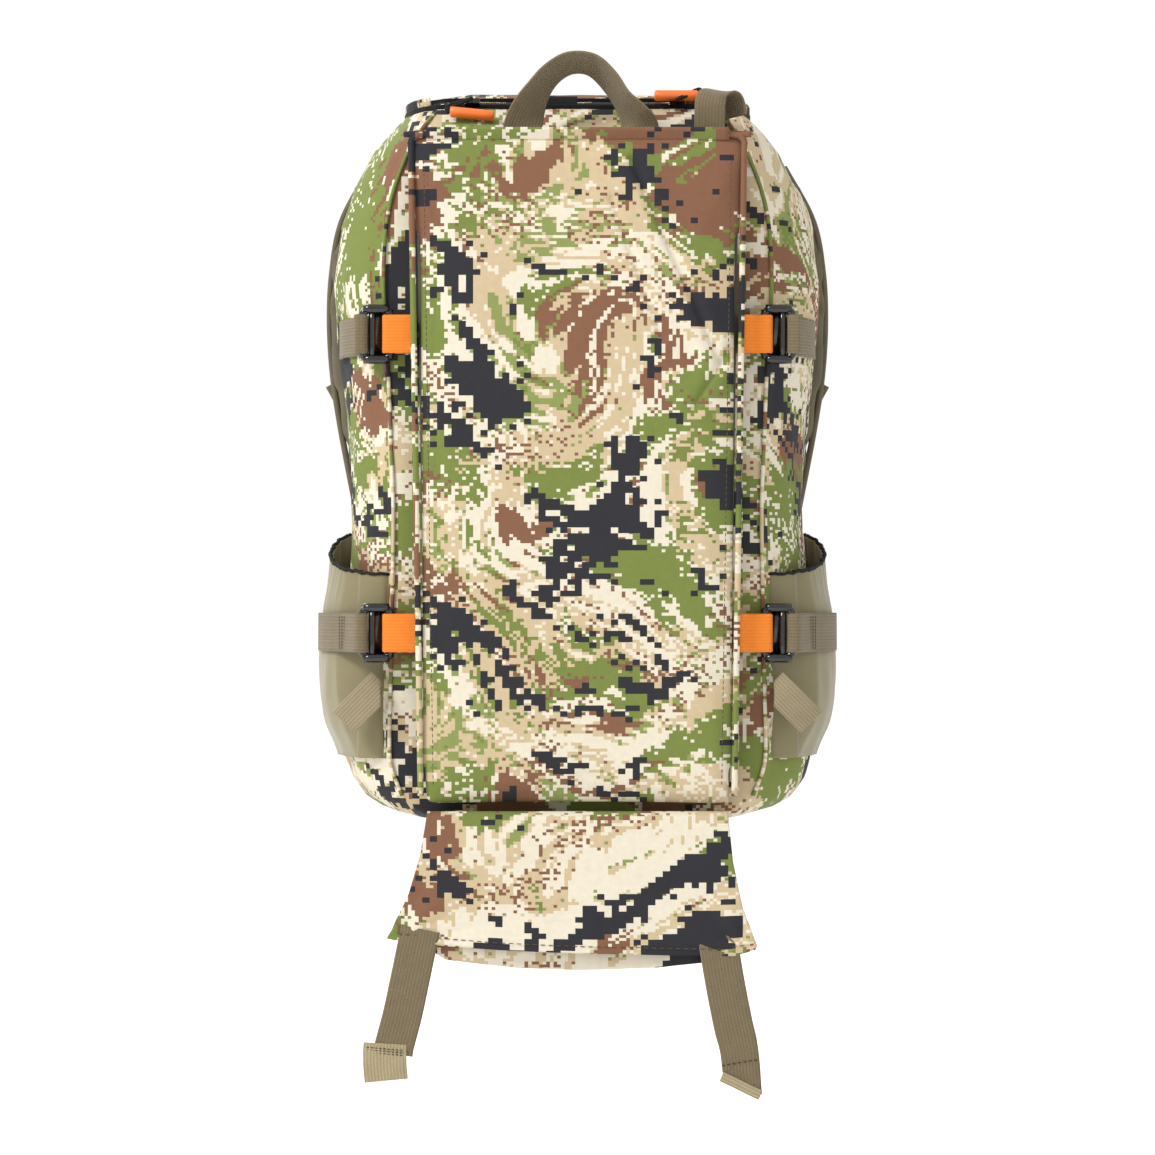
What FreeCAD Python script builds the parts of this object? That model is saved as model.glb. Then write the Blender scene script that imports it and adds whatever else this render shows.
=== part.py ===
import FreeCAD, Part

import os

import Sketcher

# A hunting daypack hung by its haul handle, with its load flap folded down.
# X points to the wearer's left as seen from the front, Y from the front panel to the wearer's back,
# Z up. The origin is the top of the haul handle, at the middle of the pack. Millimetres.

V = FreeCAD.Vector

SIZES = {
    "front_y": 2, "back_y": 184, "top_z": -22, "base_z": -503, "wall": 3,
    "border_half": 128, "belly_half": 161, "base_half": 156, "waist_half": 152, "back_half": 140,
    "crown_half": 92, "lid_z": -33, "zip_gap": 1.2,
    "panel_half": 110, "panel_top": -56, "panel_base": -492, "panel_front": -22, "panel_back": -5,
    "stiffener": 1.6, "webbing": 25.4, "narrow_webbing": 20, "webbing_thick": 1.6,
    "buckle_height": 38, "buckle_width": 24, "buckle_thick": 5, "upper_buckle_z": -187,
    "lower_buckle_z": -381, "flap_half": 97, "flap_z": -498, "flap_base": -589, "flap_y": -28,
    "flap_thick": 3, "pull_length": 29, "pull_radius": 3.6, "pocket_base": -462, "pocket_skin": 2,
    "pad_thick": 12, "sleeve_half": 105, "sleeve_top": -120,
}

doc = FreeCAD.newDocument("Backpack")
sheet = doc.addObject("Spreadsheet::Sheet", "Sizes")
for row, (alias, number) in enumerate(SIZES.items(), 1):
    sheet.set(f"B{row}", str(number))
    sheet.setAlias(f"B{row}", alias)
doc.recompute()


class Size:
    """A length: its value, and the spreadsheet expression that gives it."""

    def __init__(self, value, text=None):
        self.value = float(value)
        self.text = text or f"({self.value})"

    def __add__(self, other):
        other = as_size(other)
        return Size(self.value + other.value, f"({self.text} + {other.text})")

    def __sub__(self, other):
        other = as_size(other)
        return Size(self.value - other.value, f"({self.text} - {other.text})")

    def __mul__(self, factor):
        return Size(self.value * factor, f"({self.text} * ({factor}))")

    def __neg__(self):
        return self * -1

    def __rsub__(self, other):
        return as_size(other) - self

    __radd__ = __add__
    __rmul__ = __mul__


def as_size(number):
    return number if isinstance(number, Size) else Size(number)


def value(number):
    return as_size(number).value


class Sheet:
    """Gives each alias of the spreadsheet as a Size."""

    def __getattr__(self, alias):
        return Size(SIZES[alias], f"Sizes.{alias}")


d = Sheet()
pieces = []


def bind(obj, prop, number):
    obj.setExpression(prop, as_size(number).text)


def piece(obj):
    """Marks a finished sub-part, which is written to its own file."""
    pieces.append(obj)
    return obj


def mirrored(outline, side):
    """The outline as it is for side 1, or with x turned about for side -1."""
    return [(side * x, *rest) for x, *rest in outline]


def draw(sketch, outline):
    """Draws a closed outline. An entry is (x, y), or (x, y, "via") for the middle of an arc."""
    corners = [i for i, point in enumerate(outline) if len(point) == 2]
    edges = []
    for n, i in enumerate(corners):
        j = corners[(n + 1) % len(corners)]
        start, end = (V(value(outline[k][0]), value(outline[k][1]), 0) for k in (i, j))
        if (j - i) % len(outline) == 2:
            via = outline[(i + 1) % len(outline)]
            curve = Part.Arc(start, V(value(via[0]), value(via[1]), 0), end)
        else:
            curve = Part.LineSegment(start, end)
        edge = sketch.addGeometry(curve)
        first = 1 if sketch.getPoint(edge, 1).distanceToPoint(start) < 1e-6 else 2
        edges.append((edge, first))
    for n, i in enumerate(corners):
        edge, first = edges[n]
        before, last = edges[n - 1][0], 3 - edges[n - 1][1]
        sketch.addConstraint(Sketcher.Constraint("Coincident", before, last, edge, first))
        for kind, number in zip(("DistanceX", "DistanceY"), outline[i]):
            index = sketch.addConstraint(Sketcher.Constraint(kind, -1, 1, edge, first, value(number)))
            bind(sketch, f"Constraints[{index}]", number)


def slab(label, plane, outline, low, high, rounding=None):
    """A closed outline on the XY, XZ or YZ plane, padded from low to high along the third axis."""
    body = doc.addObject("PartDesign::Body", label)
    sketch = body.newObject("Sketcher::SketchObject", f"{label}_outline")
    origin = next(o for o in body.Origin.OriginFeatures if o.Role == f"{plane}_Plane")
    sketch.AttachmentSupport = (origin, [""])
    sketch.MapMode = "FlatFace"
    # The XZ plane faces -Y, so its pad starts from the high side.
    bind(sketch, "AttachmentOffset.Base.z", -as_size(high) if plane == "XZ" else low)
    draw(sketch, outline)
    pad = body.newObject("PartDesign::Pad", f"{label}_pad")
    pad.Profile = sketch
    bind(pad, "Length", as_size(high) - low)
    if rounding:
        doc.recompute()
        fillet = body.newObject("PartDesign::Fillet", f"{label}_rounding")
        fillet.Base = (pad, [""])
        fillet.UseAllEdges = True
        bind(fillet, "Radius", rounding)
        body.Tip = fillet
    return body


def block(label, x, y, z):
    """A box between two numbers along each axis."""
    box = doc.addObject("Part::Box", label)
    for (low, high), length, axis in zip((x, y, z), ("Length", "Width", "Height"), "xyz"):
        bind(box, length, as_size(high) - low)
        bind(box, f"Placement.Base.{axis}", low)
    return box


def common(label, first, *others):
    """The space that the shapes share, taken two at a time."""
    for n, other in enumerate(others, 1):
        result = doc.addObject("Part::Common", label if n == len(others) else f"{label}_{n}")
        result.Base, result.Tool = first, other
        first = result
    return result


def cut(label, base, tool):
    result = doc.addObject("Part::Cut", label)
    result.Base, result.Tool = base, tool
    return result


def band(label, stations, width, thick):
    """Webbing that twists: a ruled loft through stations of (centre, width direction)."""
    centres = [V(*centre) for centre, _ in stations]
    last = len(stations) - 1
    sections = []
    for i, (centre, (_, across)) in enumerate(zip(centres, stations)):
        along = (centres[min(i + 1, last)] - centres[max(i - 1, 0)]).normalize()
        across = V(*across)
        across = (across - along * across.dot(along)).normalize()
        face = along.cross(across) * (value(thick) / 2)
        across = across * (value(width) / 2)
        corners = [centre - across - face, centre + across - face, centre + across + face,
                   centre - across + face]
        sections.append(Part.makePolygon(corners + corners[:1]))
    obj = doc.addObject("Part::Feature", label)
    obj.Shape = Part.makeLoft(sections, True, True)
    obj.Placement = FreeCAD.Placement(V(0, 0, 0), FreeCAD.Rotation())
    return obj


SIDES = {"left": -1, "right": 1}
FAR = 400


# ---------------------------------------------------------------- pack bag

def bag_form(label, inset):
    """The bag's rounded block, smaller by inset on every face: front, plan and side outlines together."""
    spare = 0.7
    base, low, top = d.base_half - inset, d.waist_half - inset, d.belly_half - inset
    crown, ceiling, floor = d.crown_half - inset, d.top_z - inset, d.base_z + inset
    near, far = d.front_y + inset, d.back_y - inset
    edge, belly, back = d.border_half - inset, d.belly_half + spare - inset, d.back_half - inset
    right = [(base - 38, floor - spare), (base - 13, floor + 10, "via"), (base, floor + 41),
             (low, floor + 203), (top, floor + 353), (top - 11, floor + 417, "via"),
             (crown + 30, ceiling - 21), (crown + 17, ceiling - 6, "via"), (crown, ceiling + spare)]
    front = slab(f"{label}_front_form", "XZ", right + mirrored(right, -1)[::-1], -FAR, FAR)
    right = [(edge, near - spare), (edge + 24, near + 28, "via"), (belly, near + 83),
             (belly, near + 98), (belly - 4, near + 146, "via"), (back, far + spare)]
    plan = slab(f"{label}_plan_form", "XY", right + mirrored(right, -1)[::-1], -2 * FAR, FAR)
    outline = [(near, floor + 13), (near + 3, floor + 4, "via"), (near + 12, floor), (far - 12, floor),
               (far - 3, floor + 3, "via"), (far, floor + 13), (far, ceiling - 6),
               (far - 2, ceiling - 2, "via"), (far - 7, ceiling), (near + 78, ceiling),
               (near + 50, ceiling - 4, "via"), (near + 30, ceiling - 14), (near, ceiling - 38)]
    side = slab(f"{label}_side_form", "YZ", outline, -FAR, FAR)
    return common(f"{label}_form", front, plan, side)


bag_outside = bag_form("outside", 0)
shell = cut("bag_shell", bag_outside, bag_form("inside", d.wall))
under_lid = d.lid_z - d.zip_gap * 0.5
over_base = d.base_z + 9
strip_half = d.crown_half + 20
whole, ahead, behind = (-FAR, FAR), d.front_y + 6, d.back_y - 8
REGIONS = {
    "bag_lid": (whole, whole, (d.lid_z + d.zip_gap * 0.5, 0)),
    "bag_bottom": (whole, whole, (-FAR * 2, over_base)),
    "bag_front": (whole, (-FAR, ahead), (over_base, under_lid)),
    "bag_back": (whole, (behind, FAR), (over_base, under_lid)),
    "bag_top_front": ((-strip_half, strip_half), (ahead, behind), (over_base, under_lid)),
    "bag_side_left": ((-FAR, -strip_half), (ahead, behind), (over_base, under_lid)),
    "bag_side_right": ((strip_half, FAR), (ahead, behind), (over_base, under_lid)),
}
for node, (x, y, z) in REGIONS.items():
    piece(common(node, shell, block(f"{node}_region", x, y, z)))

# The zip's two tapes lie along the front of the lid's cut, on the slope.
zip_y = d.front_y + 33
tape_half = d.crown_half + 6
lower_tape = [(zip_y - 9, d.lid_z - 7.6), (zip_y - 2, d.lid_z - 2), (zip_y - 2.6, d.lid_z - 0.8),
              (zip_y - 9.8, d.lid_z - 6.6)]
piece(slab("zip_tape_bag", "YZ", lower_tape, -tape_half, tape_half))
upper_tape = [(zip_y + 1.2, d.lid_z + 2.4), (zip_y + 8, d.lid_z + 6.4), (zip_y + 7.2, d.lid_z + 7.4),
              (zip_y + 0.2, d.lid_z + 3.4)]
piece(slab("zip_tape_lid", "YZ", upper_tape, -tape_half, tape_half))

# ---------------------------------------------------------------- inside the bag

piece(block("frame_sheet", (-115, 115), (d.back_y - 5.2, d.back_y - 3.4), (-470, -70)))
for name, side in SIDES.items():
    middle = 60 * side
    piece(block(f"frame_stay_{name}", (middle - 10, middle + 10), (d.back_y - 8.2, d.back_y - 5.6),
                (-465, -75)))
sleeve_back = d.back_y - 9
sleeve_outline = [(-d.sleeve_half, sleeve_back), (-d.sleeve_half, sleeve_back - 16),
                  (d.sleeve_half, sleeve_back - 16), (d.sleeve_half, sleeve_back)]
sleeve_room = [(-d.sleeve_half + 2, sleeve_back + 5), (-d.sleeve_half + 2, sleeve_back - 14),
               (d.sleeve_half - 2, sleeve_back - 14), (d.sleeve_half - 2, sleeve_back + 5)]
sleeve_block = slab("sleeve_block", "XY", sleeve_outline, -450, d.sleeve_top)
sleeve_hollow = slab("sleeve_hollow", "XY", sleeve_room, -448, d.sleeve_top + 20)
piece(cut("hydration_sleeve", sleeve_block, sleeve_hollow))

# ---------------------------------------------------------------- side pockets


def pocket_form(label, side, inset):
    """A side pocket's bulged block, open to the bag, with a mouth that slopes down to the front."""
    bottom = d.pocket_base + inset
    rise = 30 if inset else 0
    outline = mirrored([(100, -300 + rise), (161 - inset, -300 + rise), (162 - inset, -340),
                        (171 - inset, -368, "via"), (173 - inset, -404), (172 - inset, -436, "via"),
                        (156 - inset, bottom), (100, bottom)], side)
    front = slab(f"{label}_front_form", "XZ", outline, -FAR, FAR)
    outline = mirrored([(100, 9 + inset), (141 - inset, 9 + inset), (166 - inset, 42, "via"),
                        (173 - inset, 85), (173 - inset, 105), (168 - inset, 145, "via"),
                        (152 - inset, 172 - inset), (100, 172 - inset)], side)
    plan = slab(f"{label}_plan_form", "XY", outline, -2 * FAR, FAR)
    mouth = slab(f"{label}_mouth_form", "YZ", [(0, -345 + rise), (0, -500), (200, -500), (200, -308 + rise)],
                 -FAR, FAR)
    return common(f"{label}_form", front, plan, mouth)


for name, side in SIDES.items():
    skin = cut(f"pocket_skin_{name}", pocket_form(f"pocket_{name}_outside", side, 0),
               pocket_form(f"pocket_{name}_inside", side, d.pocket_skin))
    piece(cut(f"side_pocket_{name}", skin, bag_outside))

# ---------------------------------------------------------------- compression straps and buckles


def compression_strap(node, side, height, bow, reach):
    """Webbing from the bag's side round to the buckle's outer bar, at one height."""
    outline = mirrored([(139.4, -1.2), (136.6, -1.2), (136.6, 0.4), (139, 0.4), (150.5 + bow, 22, "via"),
                        (reach - 1.6, 62), (reach, 62), (152.4 + bow, 21, "via"), (141, -1.2)], side)
    half = d.webbing * 0.5
    piece(slab(node, "XY", outline, height - half, height + half))


def buckle(node, side, height):
    """A flat buckle with three upright bars: webbing holds the outer one, the orange loop the inner."""
    outer, inner = 142.5, as_size(142.5) - d.buckle_width
    half = d.buckle_height * 0.5
    outline = [(outer - 5, height + half), (inner + 5, height + half),
               (inner + 1.5, height + half - 1.5, "via"), (inner, height + half - 5),
               (inner, height - half + 5), (inner + 1.5, height - half + 1.5, "via"),
               (inner + 5, height - half), (outer - 5, height - half),
               (outer - 1.5, height - half + 1.5, "via"), (as_size(outer), height - half + 5),
               (as_size(outer), height + half - 5), (outer - 1.5, height + half - 1.5, "via")]
    front, back = -7.4, -7.4 + d.buckle_thick
    frame = slab(f"{node}_frame", "XZ", mirrored(outline, side), front, back)
    slot_half = d.webbing * 0.5 + 0.8
    for slot, (low, high) in {"outer": (137.0, 139.2), "inner": (124.4, 130.4)}.items():
        across = sorted((side * low, side * high))
        window = block(f"{node}_{slot}_slot", across, (-20, 20), (height - slot_half, height + slot_half))
        frame = cut(f"{node}_{slot}_cut", frame, window)
    frame.Label = node
    piece(frame)


for name, side in SIDES.items():
    compression_strap(f"compression_strap_upper_{name}", side, d.upper_buckle_z, 1, 163.6)
    compression_strap(f"compression_strap_lower_{name}", side, d.lower_buckle_z, 11, 177)
    buckle(f"buckle_upper_{name}", side, d.upper_buckle_z)
    buckle(f"buckle_lower_{name}", side, d.lower_buckle_z)

# ---------------------------------------------------------------- front panel

layer = d.panel_back - d.stiffener
face_outline = [(-d.panel_half + 12, d.panel_top), (d.panel_half - 12, d.panel_top),
                (d.panel_half - 3.5, d.panel_top - 3.5, "via"), (d.panel_half, d.panel_top - 12),
                (d.panel_half - 8, d.panel_base), (-d.panel_half + 8, d.panel_base),
                (-d.panel_half, d.panel_top - 12), (-d.panel_half + 3.5, d.panel_top - 3.5, "via")]
piece(slab("front_panel", "XZ", face_outline, d.panel_front, layer, 2.5))
piece(block("panel_stiffener", (-d.panel_half + 14, d.panel_half - 14), (layer, d.panel_back),
            (d.panel_base + 6, d.panel_top - 8)))


def panel_loop(node, side, height):
    """Orange webbing from the panel's edge, out round the buckle's inner bar and back."""
    thick, edge, tip = d.webbing_thick, 110.4, 126.6
    front, back = -9.6, -0.3
    outline = mirrored([(edge, front), (tip - 3, front), (tip - 0.9, front + 0.9, "via"), (tip, front + 3),
                        (tip, back - 3), (tip - 0.9, back - 0.9, "via"), (tip - 3, back), (edge, back),
                        (edge, back - thick), (tip - thick, back - thick),
                        (tip - thick, front + thick), (edge, front + thick)], side)
    half = d.webbing * 0.5 - 0.2
    piece(slab(node, "XY", outline, height - half, height + half))


for name, side in SIDES.items():
    panel_loop(f"panel_loop_upper_{name}", side, d.upper_buckle_z)
    panel_loop(f"panel_loop_lower_{name}", side, d.lower_buckle_z)

# ---------------------------------------------------------------- bottom flap

seam = [(d.flap_y + 1.5, d.flap_z + 2.2), (d.flap_y + 1.5, d.flap_z + 0.6), (4, d.base_z - 2),
        (30, d.base_z - 2), (30, d.base_z - 0.3), (4, d.base_z - 0.3)]
piece(slab("flap_seam", "YZ", seam, -d.flap_half, d.flap_half))
top, bottom, half = d.flap_z, d.flap_base, d.flap_half
flap_outline = [(-half, top), (half, top), (half + 3, top - 30), (half + 10, top - 62, "via"),
                (half + 18, top - 84), (half + 6, bottom), (-half - 16, bottom + 8), (-half - 29, top - 77),
                (-half - 12, top - 55, "via"), (-half - 4, top - 25)]
piece(slab("flap_front", "XZ", flap_outline, d.flap_y - d.flap_thick, d.flap_y))
lining_outline = [(-half + 1, top - 4), (half - 1, top - 4), (half + 2, top - 30), (half + 8, top - 78),
                  (half - 14, bottom - 6), (0, bottom - 9), (-half + 2, bottom - 1), (-half - 8, top - 60)]
piece(slab("flap_lining", "XZ", lining_outline, d.flap_y, d.flap_y + 2))

FLAP_STRAPS = {
    "left": [(-104, -578), (-107.5, -600), (-112, -622), (-119, -654), (-124, -668)],
    "right": [(91, -584), (95, -606), (99, -628), (106, -664), (108, -682)],
}
for name, route in FLAP_STRAPS.items():
    depth = d.flap_y.value - d.flap_thick.value - 1.2
    stations = [((x, depth, z), (1, 0, 0)) for x, z in route]
    piece(band(f"flap_strap_{name}", stations, d.webbing, d.webbing_thick))

# ---------------------------------------------------------------- haul handle, loops and tabs


def tilted(centre, along, turn, y=0.0):
    """A station of webbing in the XZ plane: along is its direction, turn its twist towards Y."""
    x, z = centre
    direction = V(along[0], 0, along[1]).normalize()
    spin = FreeCAD.Rotation(direction, turn)
    return (x, y, z), tuple(spin.multVec(V(direction.z, 0, -direction.x)))


HANDLE_Y = -1.5
handle_route = [((-36, -54.8), (0, 1), 0), ((-36, -52), (0, 1), 0), ((-33, -42), (0.3, 1), 8),
                ((-27, -29), (0.5, 1), 20), ((-18, -17), (0.8, 0.8), 38), ((-5, -10), (1, 0.25), 48),
                ((9, -11), (1, -0.5), 52), ((21, -21), (0.7, -1), 60), ((30, -35), (0.5, -1), 55),
                ((38, -45), (0.35, -1), 30), ((41, -52), (0, -1), 0), ((41, -54.8), (0, -1), 0)]
handle = band("haul_handle", [tilted(c, a, t, HANDLE_Y) for c, a, t in handle_route], d.webbing,
              d.webbing_thick)
piece(handle)
for name, x in {"left": -36, "right": 41}.items():
    half = d.webbing * 0.5
    piece(block(f"haul_handle_root_{name}", (x - half, x + half),
                (HANDLE_Y - d.webbing_thick * 0.5, HANDLE_Y + d.webbing_thick * 0.5), (-96, -55.6)))

top_loop_route = [((86, 0.2, -58), (1, 0, 0)), ((86, 0.2, -40), (1, 0, 0)), ((88, 2.5, -31), (1, 0, 0)),
                  ((94, 8.5, -28.5), (1, -0.4, -0.2)), ((100, 13, -33.5), (0.8, -0.6, 0)),
                  ((103, 13.4, -44), (0.8, -0.6, 0))]
piece(band("top_loop", top_loop_route, d.narrow_webbing, d.webbing_thick))

for name, side in SIDES.items():
    across = (0.7, 0, side * 0.7)
    tool_route = [((side * x, y, z), across) for x, y, z in (
        (150, -2.4, -437), (143, -7.5, -430), (133, -9, -420), (127.5, -5.5, -414.5),
        (129.5, -1, -416.5), (141, 0.6, -428))]
    piece(band(f"tool_loop_{name}", tool_route, d.narrow_webbing, d.webbing_thick))

# ---------------------------------------------------------------- zip sliders and pulls

SLIDER_AT = {"left": (-69, (16, -41.5)), "right": (65, (29, -28))}
for name, (x, (pull_y, pull_z)) in SLIDER_AT.items():
    profile = [(24.4, -36.4), (28.6, -32.8), (26.2, -30.2), (21.4, -33.6)] if name == "left" else [
        (25.2, -36), (30, -32.4), (28.4, -32), (23.4, -34.4)]
    piece(slab(f"zip_slider_{name}", "YZ", profile, x - 5, x + 5))
    tube = doc.addObject("Part::Cylinder", f"zip_pull_{name}")
    bind(tube, "Radius", d.pull_radius)
    bind(tube, "Height", d.pull_length)
    tube.Placement = FreeCAD.Placement(V(x - d.pull_length.value / 2, pull_y, pull_z),
                                       FreeCAD.Rotation(V(0, 1, 0), 90))
    piece(tube)

# ---------------------------------------------------------------- back and harness

pad_y = d.back_y + 0.4
STRAP_FACE = 253.8
for name, side in SIDES.items():
    across = sorted((side * 22, side * 100))
    outline = [(across[0], -130), (across[1], -130), (across[1], -380), (across[0], -380)]
    piece(slab(f"back_pad_{name}", "XZ", outline, pad_y, pad_y + d.pad_thick, 4))
piece(slab("lumbar_pad", "XZ", [(-105, -400), (105, -400), (115, -480), (-115, -480)], pad_y,
           pad_y + d.pad_thick * 1.5, 5))
piece(slab("shoulder_yoke", "XZ", [(-88, -62), (88, -62), (70, -118), (-70, -118)], pad_y, pad_y + 8, 3))

for name, side in SIDES.items():
    outline = mirrored([(93, -60), (122, -44, "via"), (150, -62), (168, -150, "via"), (160, -250),
                        (148, -345), (98, -345), (104, -250), (112, -150, "via"), (93, -112)], side)
    face = slab(f"strap_{name}_face_form", "XZ", outline, 0, FAR)
    curve = [(187.5, -30), (200, -30), (210, -60), (250, -180, "via"), (222, -360), (208, -360),
             (236, -180, "via"), (195, -64)]
    bend = slab(f"strap_{name}_bend_form", "YZ", curve, -FAR, FAR)
    piece(common(f"shoulder_strap_{name}", face, bend))
    lock_x = side * 123
    across = sorted((lock_x - 17, lock_x + 17))
    piece(block(f"ladder_lock_{name}", across, (208, 214), (-376, -345.4)))
    lower_route = [((side * 123, 203, -362), (1, 0, 0)),
                   ((side * 126, 199, -400), (1, 0, 0)),
                   ((side * 132, 192, -445), (1, 0, 0))]
    piece(band(f"lower_webbing_{name}", lower_route, d.narrow_webbing, d.webbing_thick))
    tail_route = [((side * x, y, z), (0.85, 0, side * 0.5)) for x, y, z in (
        (146, STRAP_FACE, -262), (159, STRAP_FACE, -236), (173, STRAP_FACE, -206))]
    piece(band(f"strap_tail_{name}", tail_route, 14, d.webbing_thick))
    chest_x = side * 118
    chest_route = [((chest_x, STRAP_FACE + 1, z), (1, 0, 0)) for z in (-178, -240)]
    piece(band(f"sternum_webbing_{name}", chest_route, d.narrow_webbing, d.webbing_thick))
    across = sorted((chest_x - 14, chest_x + 14))
    piece(block(f"sternum_buckle_{name}", across, (STRAP_FACE, STRAP_FACE + 7), (-272, -240.4)))

# ---------------------------------------------------------------- check and write

doc.recompute()
faults = [o.Name for o in doc.Objects if "Invalid" in o.State or "Error" in o.State]
for obj in pieces:
    if obj.Shape.isNull() or not obj.Shape.isValid() or len(obj.Shape.Solids) != 1:
        faults.append(f"{obj.Label}: not one valid solid")
    else:
        print(f"{obj.Label}: {obj.Shape.Volume:.0f} mm3")
if faults:
    raise RuntimeError(f"not written: {faults}")
os.makedirs("parts", exist_ok=True)
for obj in pieces:
    obj.Shape.exportStep(f"parts/{obj.Label}.step")
print(len(pieces), "files")
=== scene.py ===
import math

import bmesh
import bpy
import numpy as np
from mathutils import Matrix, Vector, noise


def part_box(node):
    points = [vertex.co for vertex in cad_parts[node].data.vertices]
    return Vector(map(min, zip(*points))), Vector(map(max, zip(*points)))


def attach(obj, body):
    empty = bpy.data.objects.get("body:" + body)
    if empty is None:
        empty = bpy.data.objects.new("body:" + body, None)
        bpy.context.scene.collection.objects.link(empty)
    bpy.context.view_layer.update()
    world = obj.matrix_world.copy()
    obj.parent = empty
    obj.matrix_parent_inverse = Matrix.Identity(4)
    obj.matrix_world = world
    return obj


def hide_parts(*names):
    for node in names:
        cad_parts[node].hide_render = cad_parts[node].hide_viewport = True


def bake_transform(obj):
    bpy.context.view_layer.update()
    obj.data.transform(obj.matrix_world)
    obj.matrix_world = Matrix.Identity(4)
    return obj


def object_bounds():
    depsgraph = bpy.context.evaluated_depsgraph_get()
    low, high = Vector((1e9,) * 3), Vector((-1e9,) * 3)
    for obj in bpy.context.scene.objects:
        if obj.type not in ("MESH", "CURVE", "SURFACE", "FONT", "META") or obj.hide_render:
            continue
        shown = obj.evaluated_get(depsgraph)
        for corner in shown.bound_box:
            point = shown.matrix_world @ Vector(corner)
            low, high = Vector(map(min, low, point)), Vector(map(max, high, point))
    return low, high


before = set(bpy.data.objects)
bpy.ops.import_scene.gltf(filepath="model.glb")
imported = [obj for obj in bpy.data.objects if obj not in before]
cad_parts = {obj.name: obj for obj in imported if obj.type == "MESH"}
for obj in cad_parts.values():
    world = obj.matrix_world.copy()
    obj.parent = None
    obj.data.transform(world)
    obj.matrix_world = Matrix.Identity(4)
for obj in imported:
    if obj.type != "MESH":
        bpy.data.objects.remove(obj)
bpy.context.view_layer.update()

MM = 0.001
SIDES = {"left": -1, "right": 1}


# ---------------------------------------------------------------- mesh helpers

def linked(name, data):
    """An object for a mesh, a light or a camera, put in the scene."""
    obj = bpy.data.objects.new(name, data)
    bpy.context.scene.collection.objects.link(obj)
    return obj


def grid_faces(rows, columns):
    """The quads of a sheet whose points run along each row in turn."""
    return [(j * columns + i, j * columns + i + 1, (j + 1) * columns + i + 1, (j + 1) * columns + i)
            for j in range(rows - 1) for i in range(columns - 1)]


def new_object(name, verts, faces, uvs=None, smooth=True):
    """A mesh object in the scene. uvs is one (u, v) in metres for each vertex."""
    mesh = bpy.data.meshes.new(name)
    mesh.from_pydata([tuple(v) for v in verts], [], faces)
    if uvs is not None:
        layer = mesh.uv_layers.new(name="cloth")
        for loop in mesh.loops:
            layer.data[loop.index].uv = uvs[loop.vertex_index]
    if smooth:
        mesh.polygons.foreach_set("use_smooth", [True] * len(mesh.polygons))
    return linked(name, mesh)


def spline(points, count):
    """count points along a smooth curve through the given points."""
    points = np.array(points, float)
    padded = np.vstack([2 * points[0] - points[1], points, 2 * points[-1] - points[-2]])
    at = np.linspace(0, len(points) - 1.000001, count)
    out = []
    for t in at:
        i = int(t)
        f = t - i
        a, b, c, d = padded[i:i + 4]
        out.append(0.5 * (2 * b + (c - a) * f + (2 * a - 5 * b + 4 * c - d) * f ** 2
                          + (3 * b - a - 3 * c + d) * f ** 3))
    return np.array(out)


def sweep(name, centres, across, profile, closed=False):
    """Carries a closed profile of (across, face) offsets along centres. across is one vector a station."""
    centres, across = np.array(centres, float), np.array(across, float)
    count, size = len(centres), len(profile)
    verts, uvs, travelled = [], [], 0.0
    for i in range(count):
        before = centres[i - 1] if closed or i else centres[0]
        after = centres[(i + 1) % count] if closed or i < count - 1 else centres[-1]
        along = (after - before) / np.linalg.norm(after - before)
        side = across[i] - along * np.dot(across[i], along)
        side /= np.linalg.norm(side)
        face = np.cross(along, side)
        travelled += np.linalg.norm(centres[i] - centres[i - 1]) if i else 0.0
        for u, v in profile:
            verts.append(centres[i] + side * u + face * v)
            uvs.append((u, travelled))
    faces = []
    for i in range(count if closed else count - 1):
        j = (i + 1) % count
        for k in range(size):
            n = (k + 1) % size
            faces.append((i * size + k, i * size + n, j * size + n, j * size + k))
    if not closed:
        faces.append(tuple(range(size))[::-1])
        faces.append(tuple((count - 1) * size + k for k in range(size)))
    return new_object(name, verts, faces, uvs)


def carried(centres, start):
    """The vector start, carried along a path without twisting."""
    side, result = np.array(start, float), []
    for i in range(len(centres)):
        along = centres[min(i + 1, len(centres) - 1)] - centres[max(i - 1, 0)]
        along = along / np.linalg.norm(along)
        side = side - along * np.dot(side, along)
        side = side / np.linalg.norm(side)
        result.append(side)
    return result


def tube(name, points, radius, sides=12, closed=False, squash=1.0, count=None):
    centres = np.array(points, float) if count is None else spline(points, count)
    first = centres[1] - centres[0]
    start = (0, 1, 0) if abs(first[1]) < 0.8 * np.linalg.norm(first) else (1, 0, 0)
    ring = [(radius * math.cos(a), radius * squash * math.sin(a))
            for a in np.linspace(0, 2 * math.pi, sides, endpoint=False)]
    return sweep(name, centres, carried(centres, start), ring, closed)


def webbing(name, points, across, width, thick=1.6 * MM, count=48):
    """A flat strap through the points, with rounded selvedges. across is one vector or one a point."""
    centres = spline(points, count)
    across = spline(across, count) if np.ndim(across) == 2 else np.tile(across, (count, 1))
    half, r = width / 2, thick / 2
    across_steps = np.linspace(-half + r, half - r, 9)
    profile = [(u, -r) for u in across_steps] + [(half - r * 0.3, -r * 0.6), (half, 0),
                                                 (half - r * 0.3, r * 0.6)]
    profile += [(u, r) for u in across_steps[::-1]] + [(-half + r * 0.3, r * 0.6), (-half, 0),
                                                       (-half + r * 0.3, -r * 0.6)]
    return sweep(name, centres, across, profile)


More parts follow.
